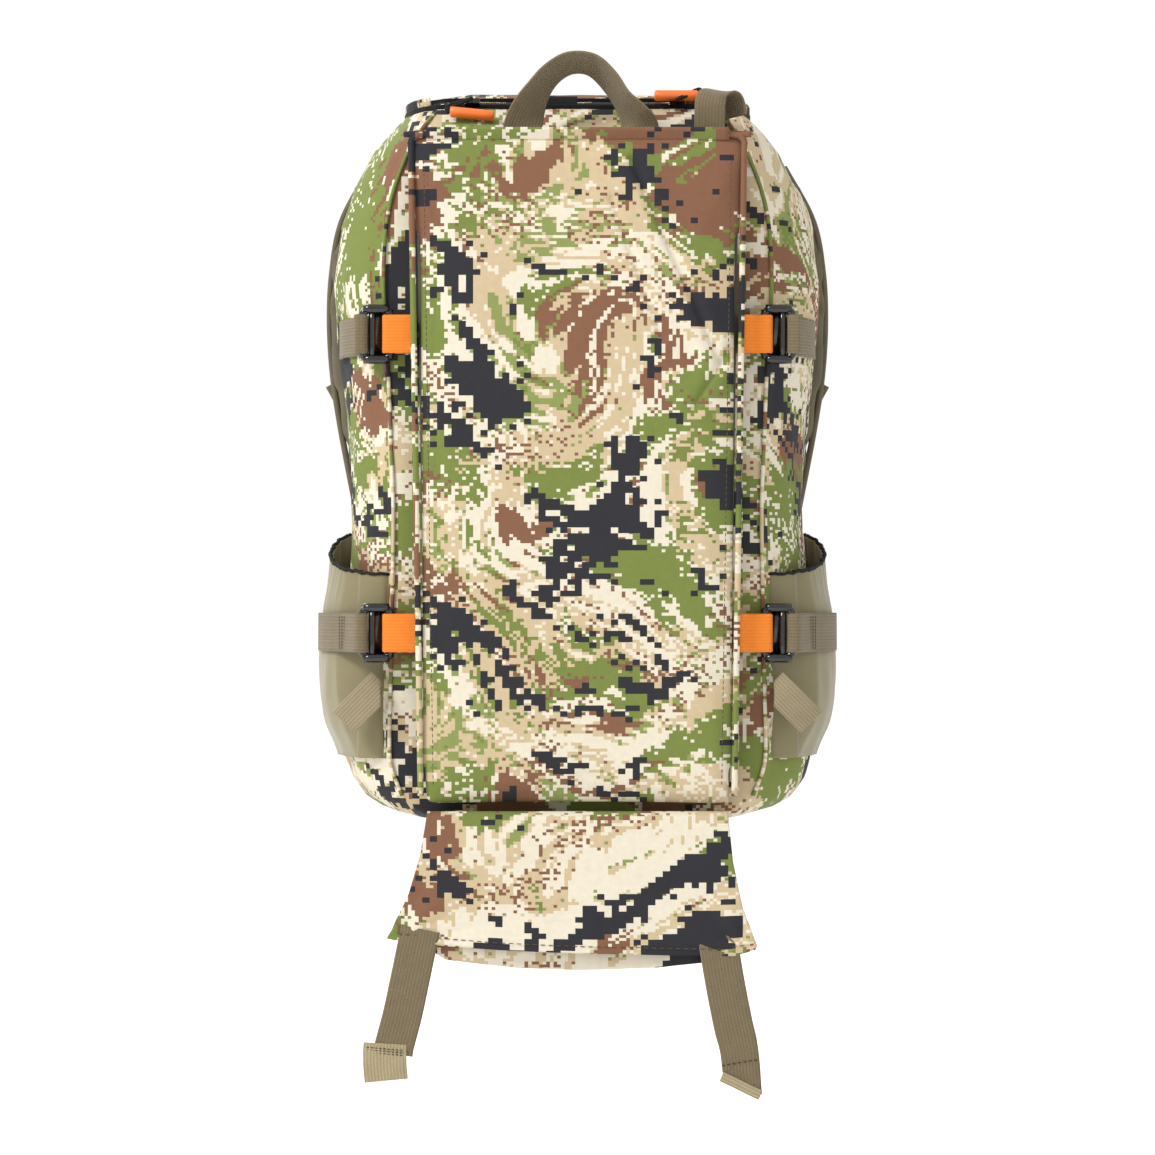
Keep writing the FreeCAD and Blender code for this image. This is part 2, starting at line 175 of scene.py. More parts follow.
def threads(name, stitches, radius=0.28 * MM):
    """Short raised stitches in one mesh: each is a pair of end points."""
    verts, faces = [], []
    for a, b in stitches:
        a, b = np.array(a, float), np.array(b, float)
        along = (b - a) / np.linalg.norm(b - a)
        side = np.cross(along, (0, 1, 0))
        if np.linalg.norm(side) < 0.2:
            side = np.cross(along, (1, 0, 0))
        side /= np.linalg.norm(side)
        up = np.cross(side, along)
        for t, r in ((0, 0.3), (0.25, 1), (0.75, 1), (1, 0.3)):
            for k in range(6):
                angle = k * math.pi / 3
                verts.append(a + (b - a) * t + (side * math.cos(angle) + up * math.sin(angle)) * radius * r)
        base = len(verts) - 24
        for ring in range(3):
            for k in range(6):
                n = (k + 1) % 6
                faces.append((base + ring * 6 + k, base + ring * 6 + n, base + ring * 6 + 6 + n,
                              base + ring * 6 + 6 + k))
        faces.append(tuple(base + k for k in range(6))[::-1])
        faces.append(tuple(base + 18 + k for k in range(6)))
    return new_object(name, verts, faces)


def running_stitch(points, length=2.6 * MM, gap=1.2 * MM):
    """Pairs of end points for stitches along a polyline."""
    points = [np.array(p, float) for p in points]
    pairs = []
    for a, b in zip(points, points[1:]):
        distance = np.linalg.norm(b - a)
        number = max(1, int(distance / (length + gap)))
        for i in range(number):
            low, high = i / number, (i + length / (length + gap)) / number
            pairs.append((a + (b - a) * low, a + (b - a) * high))
    return pairs


def modifier(obj, kind, **settings):
    result = obj.modifiers.new(kind.lower(), kind)
    for key, number in settings.items():
        setattr(result, key, number)
    return result


def apply_modifiers(obj):
    """Bakes the object's modifiers into its mesh."""
    graph = bpy.context.evaluated_depsgraph_get()
    mesh = bpy.data.meshes.new_from_object(obj.evaluated_get(graph), preserve_all_data_layers=True,
                                           depsgraph=graph)
    obj.modifiers.clear()
    obj.data = mesh
    return obj


def bulge(shape, amplitude):
    """Moves each vertex along its normal by shape(point) times amplitude."""
    def move(obj):
        mesh = obj.data
        normals = [v.normal.copy() for v in mesh.vertices]
        for vert, normal in zip(mesh.vertices, normals):
            vert.co += normal * (amplitude * shape(vert.co))
        return obj
    return move


def inflate(obj, voxel=5 * MM, pressure=4.0, cap=6 * MM, frames=20):
    """Swells a pad with a cloth simulation, each point held within cap of where it began."""
    modifier(obj, "REMESH", mode="VOXEL", voxel_size=voxel, use_smooth_shade=True)
    apply_modifiers(obj)
    rest = np.array([v.co[:] for v in obj.data.vertices])
    cloth = modifier(obj, "CLOTH")
    cloth.settings.use_pressure = True
    cloth.settings.uniform_pressure_force = pressure
    cloth.settings.effector_weights.gravity = 0
    cloth.settings.tension_stiffness = 12
    cloth.settings.compression_stiffness = 12
    cloth.settings.bending_stiffness = 0.6
    cloth.point_cache.frame_start, cloth.point_cache.frame_end = 1, frames
    for number in range(1, frames + 1):
        bpy.context.scene.frame_set(number)
    apply_modifiers(obj)
    bpy.context.scene.frame_set(1)
    moved = np.array([v.co[:] for v in obj.data.vertices]) - rest
    distance = np.linalg.norm(moved, axis=1)
    factor = np.minimum(1, cap / np.maximum(distance, 1e-9))
    for vert, start, step in zip(obj.data.vertices, rest, moved * factor[:, None]):
        vert.co = Vector(start + step)
    modifier(obj, "SUBSURF", levels=1, render_levels=1)
    apply_modifiers(obj)
    obj.data.polygons.foreach_set("use_smooth", [True] * len(obj.data.polygons))
    return obj


def fit(obj, low, high, axes=(0, 1, 2)):
    """Stretches a simulated pad back to the box that it began in, along the given axes."""
    points = np.array([v.co[:] for v in obj.data.vertices])
    for axis in axes:
        least, most = points[:, axis].min(), points[:, axis].max()
        points[:, axis] = low[axis] + (points[:, axis] - least) * (high[axis] - low[axis]) / (most - least)
    for vert, place in zip(obj.data.vertices, points):
        vert.co = Vector(place)
    return obj


def ripple(point, scale, seed=0.0):
    """Smooth noise from -1 to 1."""
    return noise.noise(Vector((point[0] * scale[0] + seed, point[1] * scale[1] - seed,
                               point[2] * scale[2] + 2 * seed)))


def finished(obj, material, body, slot, *nodes):
    """Gives a piece its material, its body, and the CAD nodes it stands for. slot is not used."""
    obj.data.materials.clear()
    obj.data.materials.append(material)
    if body:
        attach(obj, body)
    if nodes:
        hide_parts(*nodes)
    return obj


def bending(obj, material, bodies, start, end, slot, *nodes):
    """Gives a piece that runs between two bodies its material and the CAD nodes it stands for, and bakes its
    place. bodies and slot are not used.
    """
    obj.data.materials.append(material)
    if nodes:
        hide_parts(*nodes)
    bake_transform(obj)
    return obj


def recolour(node, material):
    """Gives a CAD node that stays as it is a material."""
    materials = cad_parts[node].data.materials
    materials.clear()
    materials.append(material)


# ---------------------------------------------------------------- materials

class Shader:
    """Builds one material's nodes."""

    def __init__(self, name, **sockets):
        self.material = bpy.data.materials.new(name)
        self.material.use_nodes = True
        self.tree = self.material.node_tree
        self.surface = self.tree.nodes["Principled BSDF"]
        for socket, number in sockets.items():
            self.surface.inputs[socket.replace("_", " ")].default_value = number

    def add(self, kind, settings=None, **inputs):
        node = self.tree.nodes.new(f"ShaderNode{kind}")
        for key, setting in (settings or {}).items():
            setattr(node, key, setting)
        for key, source in inputs.items():
            index = int(key[1:]) if key[0] == "i" and key[1:].isdigit() else key.replace("_", " ")
            if isinstance(source, bpy.types.NodeSocket):
                self.tree.links.new(source, node.inputs[index])
            else:
                node.inputs[index].default_value = source
        return node

    def math(self, operation, a, b=0.0, clamp=False):
        return self.add("Math", {"operation": operation, "use_clamp": clamp}, i0=a, i1=b).outputs[0]

    def mix(self, factor, a, b, blend="MIX"):
        node = self.add("Mix", {"data_type": "RGBA", "blend_type": blend}, i0=factor, i6=a, i7=b)
        return node.outputs[2]

    def coords(self, kind="UV"):
        return self.add("TexCoord").outputs[kind]

    def noise(self, vector, scale, detail=2.0, rough=0.5, distortion=0.0):
        node = self.add("TexNoise", None, Vector=vector, Scale=scale, Detail=detail, Roughness=rough,
                        Distortion=distortion)
        return node.outputs["Fac"]

    def step(self, number, edge):
        return self.math("GREATER_THAN", number, edge)

    def finish(self, colour, height=None, strength=0.4, distance=0.5 * MM, rough=None):
        self.tree.links.new(colour, self.surface.inputs["Base Color"])
        if height is not None:
            bump = self.add("Bump", None, Height=height, Strength=strength, Distance=distance)
            self.tree.links.new(bump.outputs[0], self.surface.inputs["Normal"])
        if rough is not None:
            self.tree.links.new(rough, self.surface.inputs["Roughness"])
        return self.material


LIT = 1.38  # how much light falls on the front of the pack, where 1 makes white paper white


def rgb(text):
    """The linear colour of a surface that looks like this sRGB hex text under the studio's light."""
    parts = [int(text[i:i + 2], 16) / 255 for i in (0, 2, 4)]
    return (*[(c / 12.92 if c <= 0.04045 else ((c + 0.055) / 1.055) ** 2.4) / LIT for c in parts], 1)


CREAM, TAN, GREEN, BROWN, CHARCOAL = rgb("ebe1cb"), rgb("d3bd98"), rgb("7b8843"), rgb("885f47"), rgb("2f2f34")
PALE_GREEN = rgb("8f9a58")
CELL = 1.95 * MM


def front_plane(shader, surface):
    """Flat coordinates from an object's own: its X, and its Z as the second."""
    parts = shader.add("SeparateXYZ", None, Vector=surface)
    return shader.add("CombineXYZ", None, X=parts.outputs[0], Y=parts.outputs[2]).outputs[0]


def twill(shader, vector, pitch=0.9 * MM):
    """Fine diagonal weave height from flat coordinates."""
    parts = shader.add("SeparateXYZ", None, Vector=vector)
    turn = 2 * math.pi / pitch
    slanted = shader.math("ADD", parts.outputs[0], shader.math("MULTIPLY", parts.outputs[1], 0.6))
    warp = shader.math("SINE", shader.math("MULTIPLY", slanted, turn))
    weft = shader.math("SINE", shader.math("MULTIPLY", parts.outputs[1], turn * 0.8))
    return shader.math("MULTIPLY", warp, weft)


def camo(name, flat="UV", seed=0.0, turn=0.35):
    """Generic digital camouflage: flowing patches cut into small cells, with slanted dashes at the edges."""
    shader = Shader(name, Roughness=0.86, Specular_IOR_Level=0.25)
    surface = shader.coords(flat)
    if flat == "Object":
        surface = front_plane(shader, surface)
    moved = shader.add("Mapping", None, Vector=surface, Location=(seed, seed * 1.7, 0)).outputs[0]

    def grid(wide, tall):
        """Each cell's place bent into large swirls, dashes along the flow, and a random number."""
        cells = shader.add("VectorMath", {"operation": "SNAP"}, i0=moved, i1=(wide, tall, 1)).outputs[0]
        bend = shader.add("TexNoise", None, Vector=cells, Scale=5.5, Detail=1.0).outputs["Color"]
        bend = shader.add("VectorMath", {"operation": "SUBTRACT"}, i0=bend, i1=(0.5, 0.5, 0.5)).outputs[0]
        bend = shader.add("VectorMath", {"operation": "SCALE"}, i0=bend, Scale=0.42).outputs[0]
        bent = shader.add("VectorMath", {"operation": "ADD"}, i0=cells, i1=bend).outputs[0]
        bent = shader.add("Mapping", None, Vector=bent, Rotation=(0, 0, turn),
                          Scale=(0.72, 1.25, 1)).outputs[0]
        slanted = shader.add("Mapping", None, Vector=bent, Rotation=(0, 0, 0.9),
                             Scale=(1.0, 0.28, 1)).outputs[0]
        dashes = shader.math("SUBTRACT", shader.noise(slanted, 150, 1.0), 0.5)
        speck = shader.add("TexWhiteNoise", {"noise_dimensions": "3D"}, Vector=cells).outputs["Value"]
        return bent, dashes, shader.math("SUBTRACT", speck, 0.5)

    fine, coarse = grid(CELL * 1.2, CELL), grid(CELL * 2.4, CELL * 1.9)

    def patch(cells, scale, offset, dashed, specked, edge):
        bent, dashes, speck = cells
        place = shader.add("VectorMath", {"operation": "ADD"}, i0=bent,
                           i1=(offset, offset * 0.7, offset)).outputs[0]
        height = shader.noise(place, scale, 2.0, 0.5)
        height = shader.math("ADD", height, shader.math("MULTIPLY", dashes, dashed))
        return shader.step(shader.math("ADD", height, shader.math("MULTIPLY", speck, specked)), edge)

    colour = shader.mix(patch(fine, 16, 0.0, 0.9, 0.06, 0.462), CREAM, TAN)
    colour = shader.mix(patch(fine, 13, 2.6, 0.9, 0.05, 0.62), colour, PALE_GREEN)
    colour = shader.mix(patch(fine, 15, 21.3, 0.10, 0.62, 0.775), colour, BROWN)
    colour = shader.mix(patch(fine, 11, 5.2, 0.40, 0.06, 0.548), colour, GREEN)
    colour = shader.mix(patch(fine, 17, 29.8, 0.30, 0.50, 0.800), colour, CREAM)
    colour = shader.mix(patch(fine, 11, 9.7, 0.34, 0.03, 0.585), colour, BROWN)
    colour = shader.mix(patch(coarse, 13, 14.1, 0.34, 0.05, 0.600), colour, CHARCOAL)
    fade = shader.noise(moved, 240, 2.0)
    shade = shader.add("MapRange", None, Value=fade, To_Min=0.90, To_Max=1.06).outputs[0]
    colour = shader.mix(1.0, colour, shader.add("CombineColor", None, i0=shade, i1=shade,
                                                i2=shade).outputs[0], "MULTIPLY")
    weave = shader.math("ADD", twill(shader, surface),
                        shader.math("MULTIPLY", shader.noise(moved, 60, 3.0), 3.0))
    return shader.finish(colour, weave, 0.35, 0.12 * MM)


def strap_material(name, light, dark, sheen=0.15):
    """Ribbed webbing: u runs across the strap and v along it."""
    shader = Shader(name, Roughness=0.78, Specular_IOR_Level=0.3, Sheen_Weight=sheen)
    surface = shader.coords("UV")
    parts = shader.add("SeparateXYZ", None, Vector=surface)
    across, along = parts.outputs[0], parts.outputs[1]
    ribs = shader.math("SINE", shader.math("MULTIPLY", across, 2 * math.pi / (2.1 * MM)))
    chevron = shader.math("PINGPONG", across, 2.1 * MM)
    picks = shader.math("SINE", shader.math("MULTIPLY", shader.math("ADD", along,
                                                                    shader.math("MULTIPLY", chevron, 0.8)),
                                            2 * math.pi / (1.35 * MM)))
    height = shader.math("ADD", shader.math("MULTIPLY", ribs, 0.45), shader.math("MULTIPLY", picks, 0.55))
    # The weave's low grooves are painted darker from its height: painted shade, with random wear mottling
    # added on top.
    shade = shader.add("MapRange", None, Value=height, From_Min=-1.0, From_Max=1.0).outputs[0]
    wear = shader.noise(surface, 90, 4.0, 0.6)
    colour = shader.mix(shader.math("ADD", shader.math("MULTIPLY", shade, 0.7),
                                    shader.math("MULTIPLY", wear, 0.4), True), dark, light)
    return shader.finish(colour, height, 0.7, 0.28 * MM)


def stretch_material():
    """Smooth olive stretch cloth with a faint ribbed knit."""
    shader = Shader("olive_stretch", Roughness=0.7, Specular_IOR_Level=0.35, Sheen_Weight=0.25)
    surface = shader.coords("UV")
    broad = shader.noise(surface, 14, 3.0, 0.55)
    colour = shader.mix(broad, rgb("7d7452"), rgb("988d68"))
    return shader.finish(colour, twill(shader, surface, 0.7 * MM), 0.3, 0.08 * MM)


def plain_cloth(name, light, dark, pitch=1.2 * MM, rough=0.85):
    """Plain woven cloth, laid out in the object's own X and Z."""
    shader = Shader(name, Roughness=rough, Specular_IOR_Level=0.25)
    surface = shader.coords("Object")
    flat = front_plane(shader, surface)
    colour = shader.mix(shader.noise(surface, 35, 4.0, 0.6), dark, light)
    return shader.finish(colour, twill(shader, flat, pitch), 0.5, 0.2 * MM)


def mesh_cloth(name):
    """Open spacer mesh: dark hexagonal holes in grey knit."""
    shader = Shader(name, Roughness=0.9, Specular_IOR_Level=0.2)
    flat = front_plane(shader, shader.coords("Object"))
    holes = shader.add("TexVoronoi", {"feature": "F1"}, Vector=flat, Scale=330.0, Randomness=0.12)
    rim = shader.add("MapRange", None, Value=holes.outputs["Distance"], From_Min=0.28,
                     From_Max=0.48).outputs[0]
    colour = shader.mix(rim, rgb("23231f"), rgb("6d6650"))
    return shader.finish(colour, rim, 0.8, 0.5 * MM)


def moulded(name, colour, rough=0.28):
    """Moulded plastic or rubber with a faint grain."""
    shader = Shader(name, Roughness=rough, Specular_IOR_Level=0.6)
    grain = shader.noise(shader.coords("Object"), 900, 2.0)
    soft = shader.noise(shader.coords("Object"), 60, 3.0)
    lighter = tuple(min(1, c * 1.25 + 0.004) for c in colour[:3]) + (1,)
    return shader.finish(shader.mix(soft, colour, lighter), grain, 0.25, 0.05 * MM)


def metal(name, colour, rough=0.35):
    shader = Shader(name, Metallic=1.0, Roughness=rough)
    brushed = shader.add("Mapping", None, Vector=shader.coords("Object"), Scale=(400, 400, 12)).outputs[0]
    lines = shader.noise(brushed, 3.0, 4.0)
    lighter = tuple(min(1, c * 1.2) for c in colour[:3]) + (1,)
    return shader.finish(shader.mix(lines, colour, lighter), lines, 0.15, 0.05 * MM)


CAMO = camo("camo_bag", "UV", 0.0)
CAMO_PANEL = camo("camo_panel", "Object", 3.1, -0.5)
CAMO_FLAP = camo("camo_flap", "UV", 7.7, 0.1)
TAUPE = strap_material("taupe_webbing", rgb("8d7d5e"), rgb("5d5038"))
ORANGE = strap_material("orange_webbing", rgb("ff9a34"), rgb("f0700a"), 0.05)
TAUPE_COARSE = strap_material("coarse_webbing", rgb("b3a483"), rgb("7c6d50"))
TAUPE_PALE = strap_material("webbing_underside", rgb("c9b994"), rgb("7d6c4c"))
OLIVE = stretch_material()
BLACK = moulded("black_plastic", rgb("0c0c0d"), 0.18)
BLACK_CLOTH = plain_cloth("black_binding", rgb("2b2a28"), rgb("121212"), 1.0 * MM)
BLACK_METAL = metal("black_metal", rgb("1c1c1e"), 0.4)
RUBBER = moulded("orange_rubber", rgb("f5741a"), 0.42)
LINING = plain_cloth("grey_lining", rgb("77766a"), rgb("55544b"), 0.8 * MM, 0.6)
HARNESS = plain_cloth("harness_cloth", rgb("7d755f"), rgb("5d5644"))
SPACER = mesh_cloth("spacer_mesh")
SHEET_PLASTIC = moulded("stiff_sheet", rgb("1a1a1a"), 0.45)
STAY = metal("stay_aluminium", rgb("c9ccd0"), 0.3)
THREAD = plain_cloth("thread", rgb("6d6046"), rgb("4a402c"), 0.5 * MM)
DARK_THREAD = plain_cloth("dark_thread", rgb("3a352a"), rgb("26221a"), 0.5 * MM)

# ---------------------------------------------------------------- sizes read from the frame

def mid(node):
    low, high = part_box(node)
    return (low + high) / 2


BAG_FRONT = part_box("bag_front")[0].y
BAG_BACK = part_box("bag_back")[1].y
BASE_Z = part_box("bag_bottom")[0].z
TOP_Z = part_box("bag_lid")[1].z
LID_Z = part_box("bag_lid")[0].z
PANEL_LOW, PANEL_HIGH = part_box("front_panel")
UPPER_Z, LOWER_Z = mid("buckle_upper_left").z, mid("buckle_lower_left").z
BUCKLE_Y = mid("buckle_upper_left").y

BAG_COLUMNS = 260  # points round the bag's cloth
WEBBING, NARROW = 25.4 * MM, 20 * MM  # the two widths of strap
# Half the bag's width, as (height above the base, half width).
OUTLINE = [(0.000, 0.112), (0.005, 0.130), (0.013, 0.143), (0.025, 0.151), (0.041, 0.156), (0.123, 0.1535),
           (0.203, 0.152), (0.283, 0.156), (0.353, 0.161), (0.393, 0.158), (0.417, 0.150), (0.443, 0.135),
           (0.460, 0.122), (0.470, 0.113), (0.4755, 0.105), (0.481, 0.090)]
# The right half of the bag in plan, from the middle of the front to the middle of the back.
PLAN = [(0.0, 0.0), (0.06, 0.0), (0.110, 0.0), (0.1255, 0.0015), (0.132, 0.008), (0.1415, 0.018),
        (0.1515, 0.036),
        (0.158, 0.058), (0.161, 0.083), (0.161, 0.100), (0.1605, 0.118), (0.158, 0.142), (0.153, 0.162),
        (0.143, 0.177), (0.128, 0.1815), (0.06, 0.182), (0.0, 0.182)]
PLAN_HALF, PLAN_DEPTH = 0.161, 0.182  # the furthest that PLAN reaches


def half_width(z):
    return float(np.interp(z - BASE_Z, *zip(*OUTLINE)))


def front_at(z):
    """How far back the bag's front stands: it slopes away towards the top and tucks in at the base."""
    height = z - BASE_Z
    return BAG_FRONT + float(np.interp(height, [0, 0.004, 0.013, 0.443, 0.467, 0.477, 0.481],
                                       [0.012, 0.003, 0, 0, 0.030, 0.050, 0.074]))


def back_at(z):
    return BAG_BACK - float(np.interp(z - BASE_Z, [0, 0.004, 0.013, 0.470, 0.477, 0.481],
                                      [0.012, 0.003, 0, 0, 0.002, 0.007]))


def around(z, columns):
    """The bag's outline in plan at one height, as columns points from the middle of the front, clockwise."""
    half = spline([(x, y, 0) for x, y in PLAN], columns // 2 + 1)
    ratio, near, far = half_width(z) / PLAN_HALF, front_at(z), back_at(z)
    points = [Vector((x * ratio, near + y / PLAN_DEPTH * (far - near), z)) for x, y, _ in half]
    return points + [Vector((-p.x, p.y, p.z)) for p in points[-2:0:-1]]


def folds(point):
    """Loose folds of the bag's cloth: long and slanted on the sides, soft elsewhere."""
    side = min(1.0, max(0.0, (abs(point.x) - 0.10) / 0.04))
    long_folds = ripple(point + Vector((0, point.z * 0.35, 0)), (20, 30, 9), 2.0)
    small = ripple(point, (38, 38, 26), 6.0)
    return side * (1.6 * long_folds + 0.7 * small) + 0.35 * small


def lay_flat(obj, rings, walls, columns):
    """UVs in metres: round the walls from the middle of the front, and straight down on the floor or roof."""
    girths = []
    for ring in rings:
        half, reach = columns // 2, [0.0]
        for i in range(half):
            reach.append(reach[-1] + (ring[i + 1] - ring[i]).length)
        girths.append(reach + [-reach[columns - i] for i in range(half + 1, columns)])
    layer = obj.data.uv_layers.new(name="cloth")
    for face in obj.data.polygons:
        rows = [v // columns for v in face.vertices]
        at_back = any(v % columns == columns // 2 for v in face.vertices) and any(
            v % columns > columns // 2 for v in face.vertices)
        for loop in face.loop_indices:
            vert = obj.data.loops[loop].vertex_index
            r, i = divmod(vert, columns)
            p = obj.data.vertices[vert].co
            u = -girths[r][i] if at_back and i == columns // 2 else girths[r][i]
            layer.data[loop].uv = (p.x, p.y - 1.0) if max(rows) >= walls else (u, p.z)


def cloth_tube(name, heights, columns, skin=2 * MM, floor=False, roof=False):
    """A ring of cloth at each height, closed in at the bottom or the top if asked."""
    rings = [around(z, columns) for z in heights]
    if floor or roof:
        edge = rings[-1]
        centre = sum(edge, Vector()) / len(edge)
        for inner in (0.94, 0.85, 0.7, 0.5, 0.3, 0.12):
            lift = (1 - inner) * (0.002 if roof else 0.0)
            rings.append([centre + (p - centre) * inner + Vector((0, 0, lift)) for p in edge])
    verts, faces = [p for ring in rings for p in ring], []
    for r in range(len(rings) - 1):
        for i in range(columns):
            n = (i + 1) % columns
            quad = (r * columns + i, r * columns + n, (r + 1) * columns + n, (r + 1) * columns + i)
            faces.append(quad if roof else quad[::-1])
    if floor or roof:
        last = tuple((len(rings) - 1) * columns + i for i in range(columns))
        faces.append(last if roof else last[::-1])
    obj = new_object(name, verts, faces)
    lay_flat(obj, rings, len(heights), columns)
    bulge(folds, 1.9 * MM)(obj)
    modifier(obj, "SOLIDIFY", thickness=skin, offset=-1)
    return apply_modifiers(obj)


# ---------------------------------------------------------------- the bag

heights = list(np.linspace(LID_Z - 1.4 * MM, BASE_Z + 0.05, 110))
heights += list(np.linspace(BASE_Z + 0.046, BASE_Z, 16))
bag = cloth_tube("bag_skin", heights, BAG_COLUMNS, floor=True)
finished(bag, CAMO, "bag", "camo_fabric", "bag_front", "bag_back", "bag_bottom", "bag_top_front",
         "bag_side_left", "bag_side_right")
lid = cloth_tube("lid_skin", list(np.linspace(LID_Z + 0.6 * MM, TOP_Z, 12)), BAG_COLUMNS, roof=True)
finished(lid, CAMO, "lid", "camo_fabric", "bag_lid")

# The cloth hinge along the back of the lid: a strip outside and one inside, out from the cloth by so many mm
# below the hinge and above it.
GUSSET_COLUMNS = 120
lid_hinge_z = LID_Z - 0.6 * MM
for label, below, above in (("outer", 1.2, 0.8), ("inner", -3.2, -3.2)):
    verts, uvs = [], []
    levels = np.linspace(-9 * MM, 7.5 * MM, 24)
    for level in levels:
        z = lid_hinge_z + level
        ring = around(z, BAG_COLUMNS)
        back = sorted((p for p in ring if p.y > 0.14), key=lambda p: p.x)
        line = spline([tuple(p) for p in back], GUSSET_COLUMNS)
        centre = Vector((0, 0.10, z))
        for x, y, _ in line:
            out = (Vector((x, y, z)) - centre).normalized() * (below if level < 0 else above) * MM
            verts.append((x + out.x, y + out.y, z))
            uvs.append((x, z))
    gusset = new_object(f"lid_gusset_{label}", verts, grid_faces(len(levels), GUSSET_COLUMNS), uvs)
    modifier(gusset, "SOLIDIFY", thickness=0.8 * MM, offset=0)
    apply_modifiers(gusset)
    bending(gusset, CAMO, ("bag", "lid"), (0, BAG_BACK, lid_hinge_z - 3.0 * MM),
            (0, BAG_BACK, lid_hinge_z + 3.0 * MM), "camo_fabric")

# Piping along each side of the front border.
for name, side in SIDES.items():
    line = [(side * (half_width(z) / PLAN_HALF * 0.1262 + 0.0006), front_at(z) + 0.5 * MM, z)
            for z in np.linspace(BASE_Z + 0.016, LID_Z - 0.008, 24)]
    finished(tube(f"border_piping_{name}", line, 1.3 * MM, count=120), CAMO, "bag", "camo_fabric")

# The zip: tape each side of the cut, its coil, and a storm flap over all but the left end.


def rim_line(z, start, stop, lift, count=200):
    """The bag's outline at a height, between two angles in degrees from the front, negative to the left."""
    ring = [p for p in around(z, count) if p.y < BAG_BACK - 0.02]
    ring.sort(key=lambda p: math.atan2(p.x, 0.10 - p.y))
    centre = Vector((0, 0.10, z))
    chosen = [p for p in ring if start <= math.degrees(math.atan2(p.x, 0.10 - p.y)) <= stop]
    return [tuple(p + (p - centre).normalized() * lift) for p in chosen]


for part, z, node in (("bag", LID_Z - 3.4 * MM, "zip_tape_bag"), ("lid", LID_Z + 1.9 * MM, "zip_tape_lid")):
    tape = webbing(f"zip_tape_{part}_cloth", rim_line(z, -128, 128, 0.9 * MM), (0, -0.45, 0.89), 5.0 * MM,
                   0.8 * MM, count=240)
    finished(tape, BLACK_CLOTH, part, "zip_tape", node)
coil_line = spline(rim_line(LID_Z - 0.7 * MM, -60, 60, 1.7 * MM, 240), 560)
coil = sweep("zip_coil", coil_line, carried(coil_line, (0, 0, 1)),
             [(1.3 * MM * math.cos(a), 0.9 * MM * math.sin(a))
              for a in np.linspace(0, 2 * math.pi, 8, endpoint=False)])
for i, vert in enumerate(coil.data.vertices):
    vert.co.z += (0.35 * MM if (i // 8) % 2 else -0.35 * MM)
finished(coil, BLACK, "bag", "zip_tape")
for label, start, stop in (("right", 44, 118), ("middle", -32, 2), ("left", -118, -60)):
    route = rim_line(LID_Z - 0.6 * MM, start, stop, 3.0 * MM)
    cover = webbing(f"storm_flap_{label}", route, (0, -0.35, 0.94), 11 * MM, 1.2 * MM, count=120)
    finished(cover, CAMO_FLAP, "bag", "camo_fabric")

# ---------------------------------------------------------------- front panel

PANEL_CENTRE = (PANEL_LOW + PANEL_HIGH) / 2


def slab(name, low, high, corner, taper=0.0):
    """A closed block with rounded outline corners in X and Z, from low to high, narrower towards its base."""
    bm = bmesh.new()
    bmesh.ops.create_cube(bm, size=1.0)
    bmesh.ops.scale(bm, vec=high - low, verts=bm.verts)
    bmesh.ops.translate(bm, vec=(low + high) / 2, verts=bm.verts)
    upright = [e for e in bm.edges if abs(e.verts[0].co.y - e.verts[1].co.y) > 1e-6]
    bmesh.ops.bevel(bm, geom=upright, offset=corner, segments=5, profile=0.5, affect="EDGES")
    middle = (low + high) / 2
    for vert in bm.verts:
        drop = (high.z - vert.co.z) / (high.z - low.z)
        vert.co.x = middle.x + (vert.co.x - middle.x) * (1 - taper * drop)
    mesh = bpy.data.meshes.new(name)
    bm.to_mesh(mesh)
    bm.free()
    return linked(name, mesh)


def panel_wrinkles(point):
    """Soft dents all over, and two slanted creases at the upper right, ending in a tuck."""
    soft = 0.5 * ripple(point, (16, 10, 12), 3.0) + 0.25 * ripple(point, (40, 10, 30), 8.0)
    crease = 0.0
    for start, end, depth in (((0.035, -0.075), (0.092, -0.205), 1.0),
                              ((0.022, -0.10), (0.055, -0.190), 0.6),
                              ((0.075, -0.235), (0.103, -0.190), 0.7)):
        a, b = Vector(start), Vector(end)
        p = Vector((point.x, point.z))
        t = max(0.0, min(1.0, (p - a).dot(b - a) / (b - a).length_squared))
        distance = (p - (a + (b - a) * t)).length
        crease += depth * (math.exp(-(distance / 0.0022) ** 2) * -2.2
                           + math.exp(-((distance - 0.007) / 0.005) ** 2) * 0.9)
    return soft + crease


inset = Vector((4 * MM, 4 * MM, 4 * MM))
panel = slab("panel_face", PANEL_LOW + inset, PANEL_HIGH - inset, 12 * MM, taper=0.06)
inflate(panel, 5 * MM, 4.0, 5 * MM)
modifier(panel, "SUBSURF", levels=1, render_levels=1)
apply_modifiers(panel)
fit(panel, PANEL_LOW + Vector((1, 1, 1)) * MM, PANEL_HIGH - Vector((1, 0.6, 1)) * MM)
for vert in panel.data.vertices:
    if vert.co.y < PANEL_CENTRE.y:
        vert.co.y -= 1.1 * MM * panel_wrinkles(vert.co)
finished(panel, CAMO_PANEL, "front_panel", "camo_fabric", "front_panel")


def panel_edge(z):
    """Half the panel's width at a height."""
    drop = (PANEL_HIGH.z - z) / (PANEL_HIGH.z - PANEL_LOW.z)
    return PANEL_HIGH.x * (1 - 0.06 * drop) - 1.5 * MM


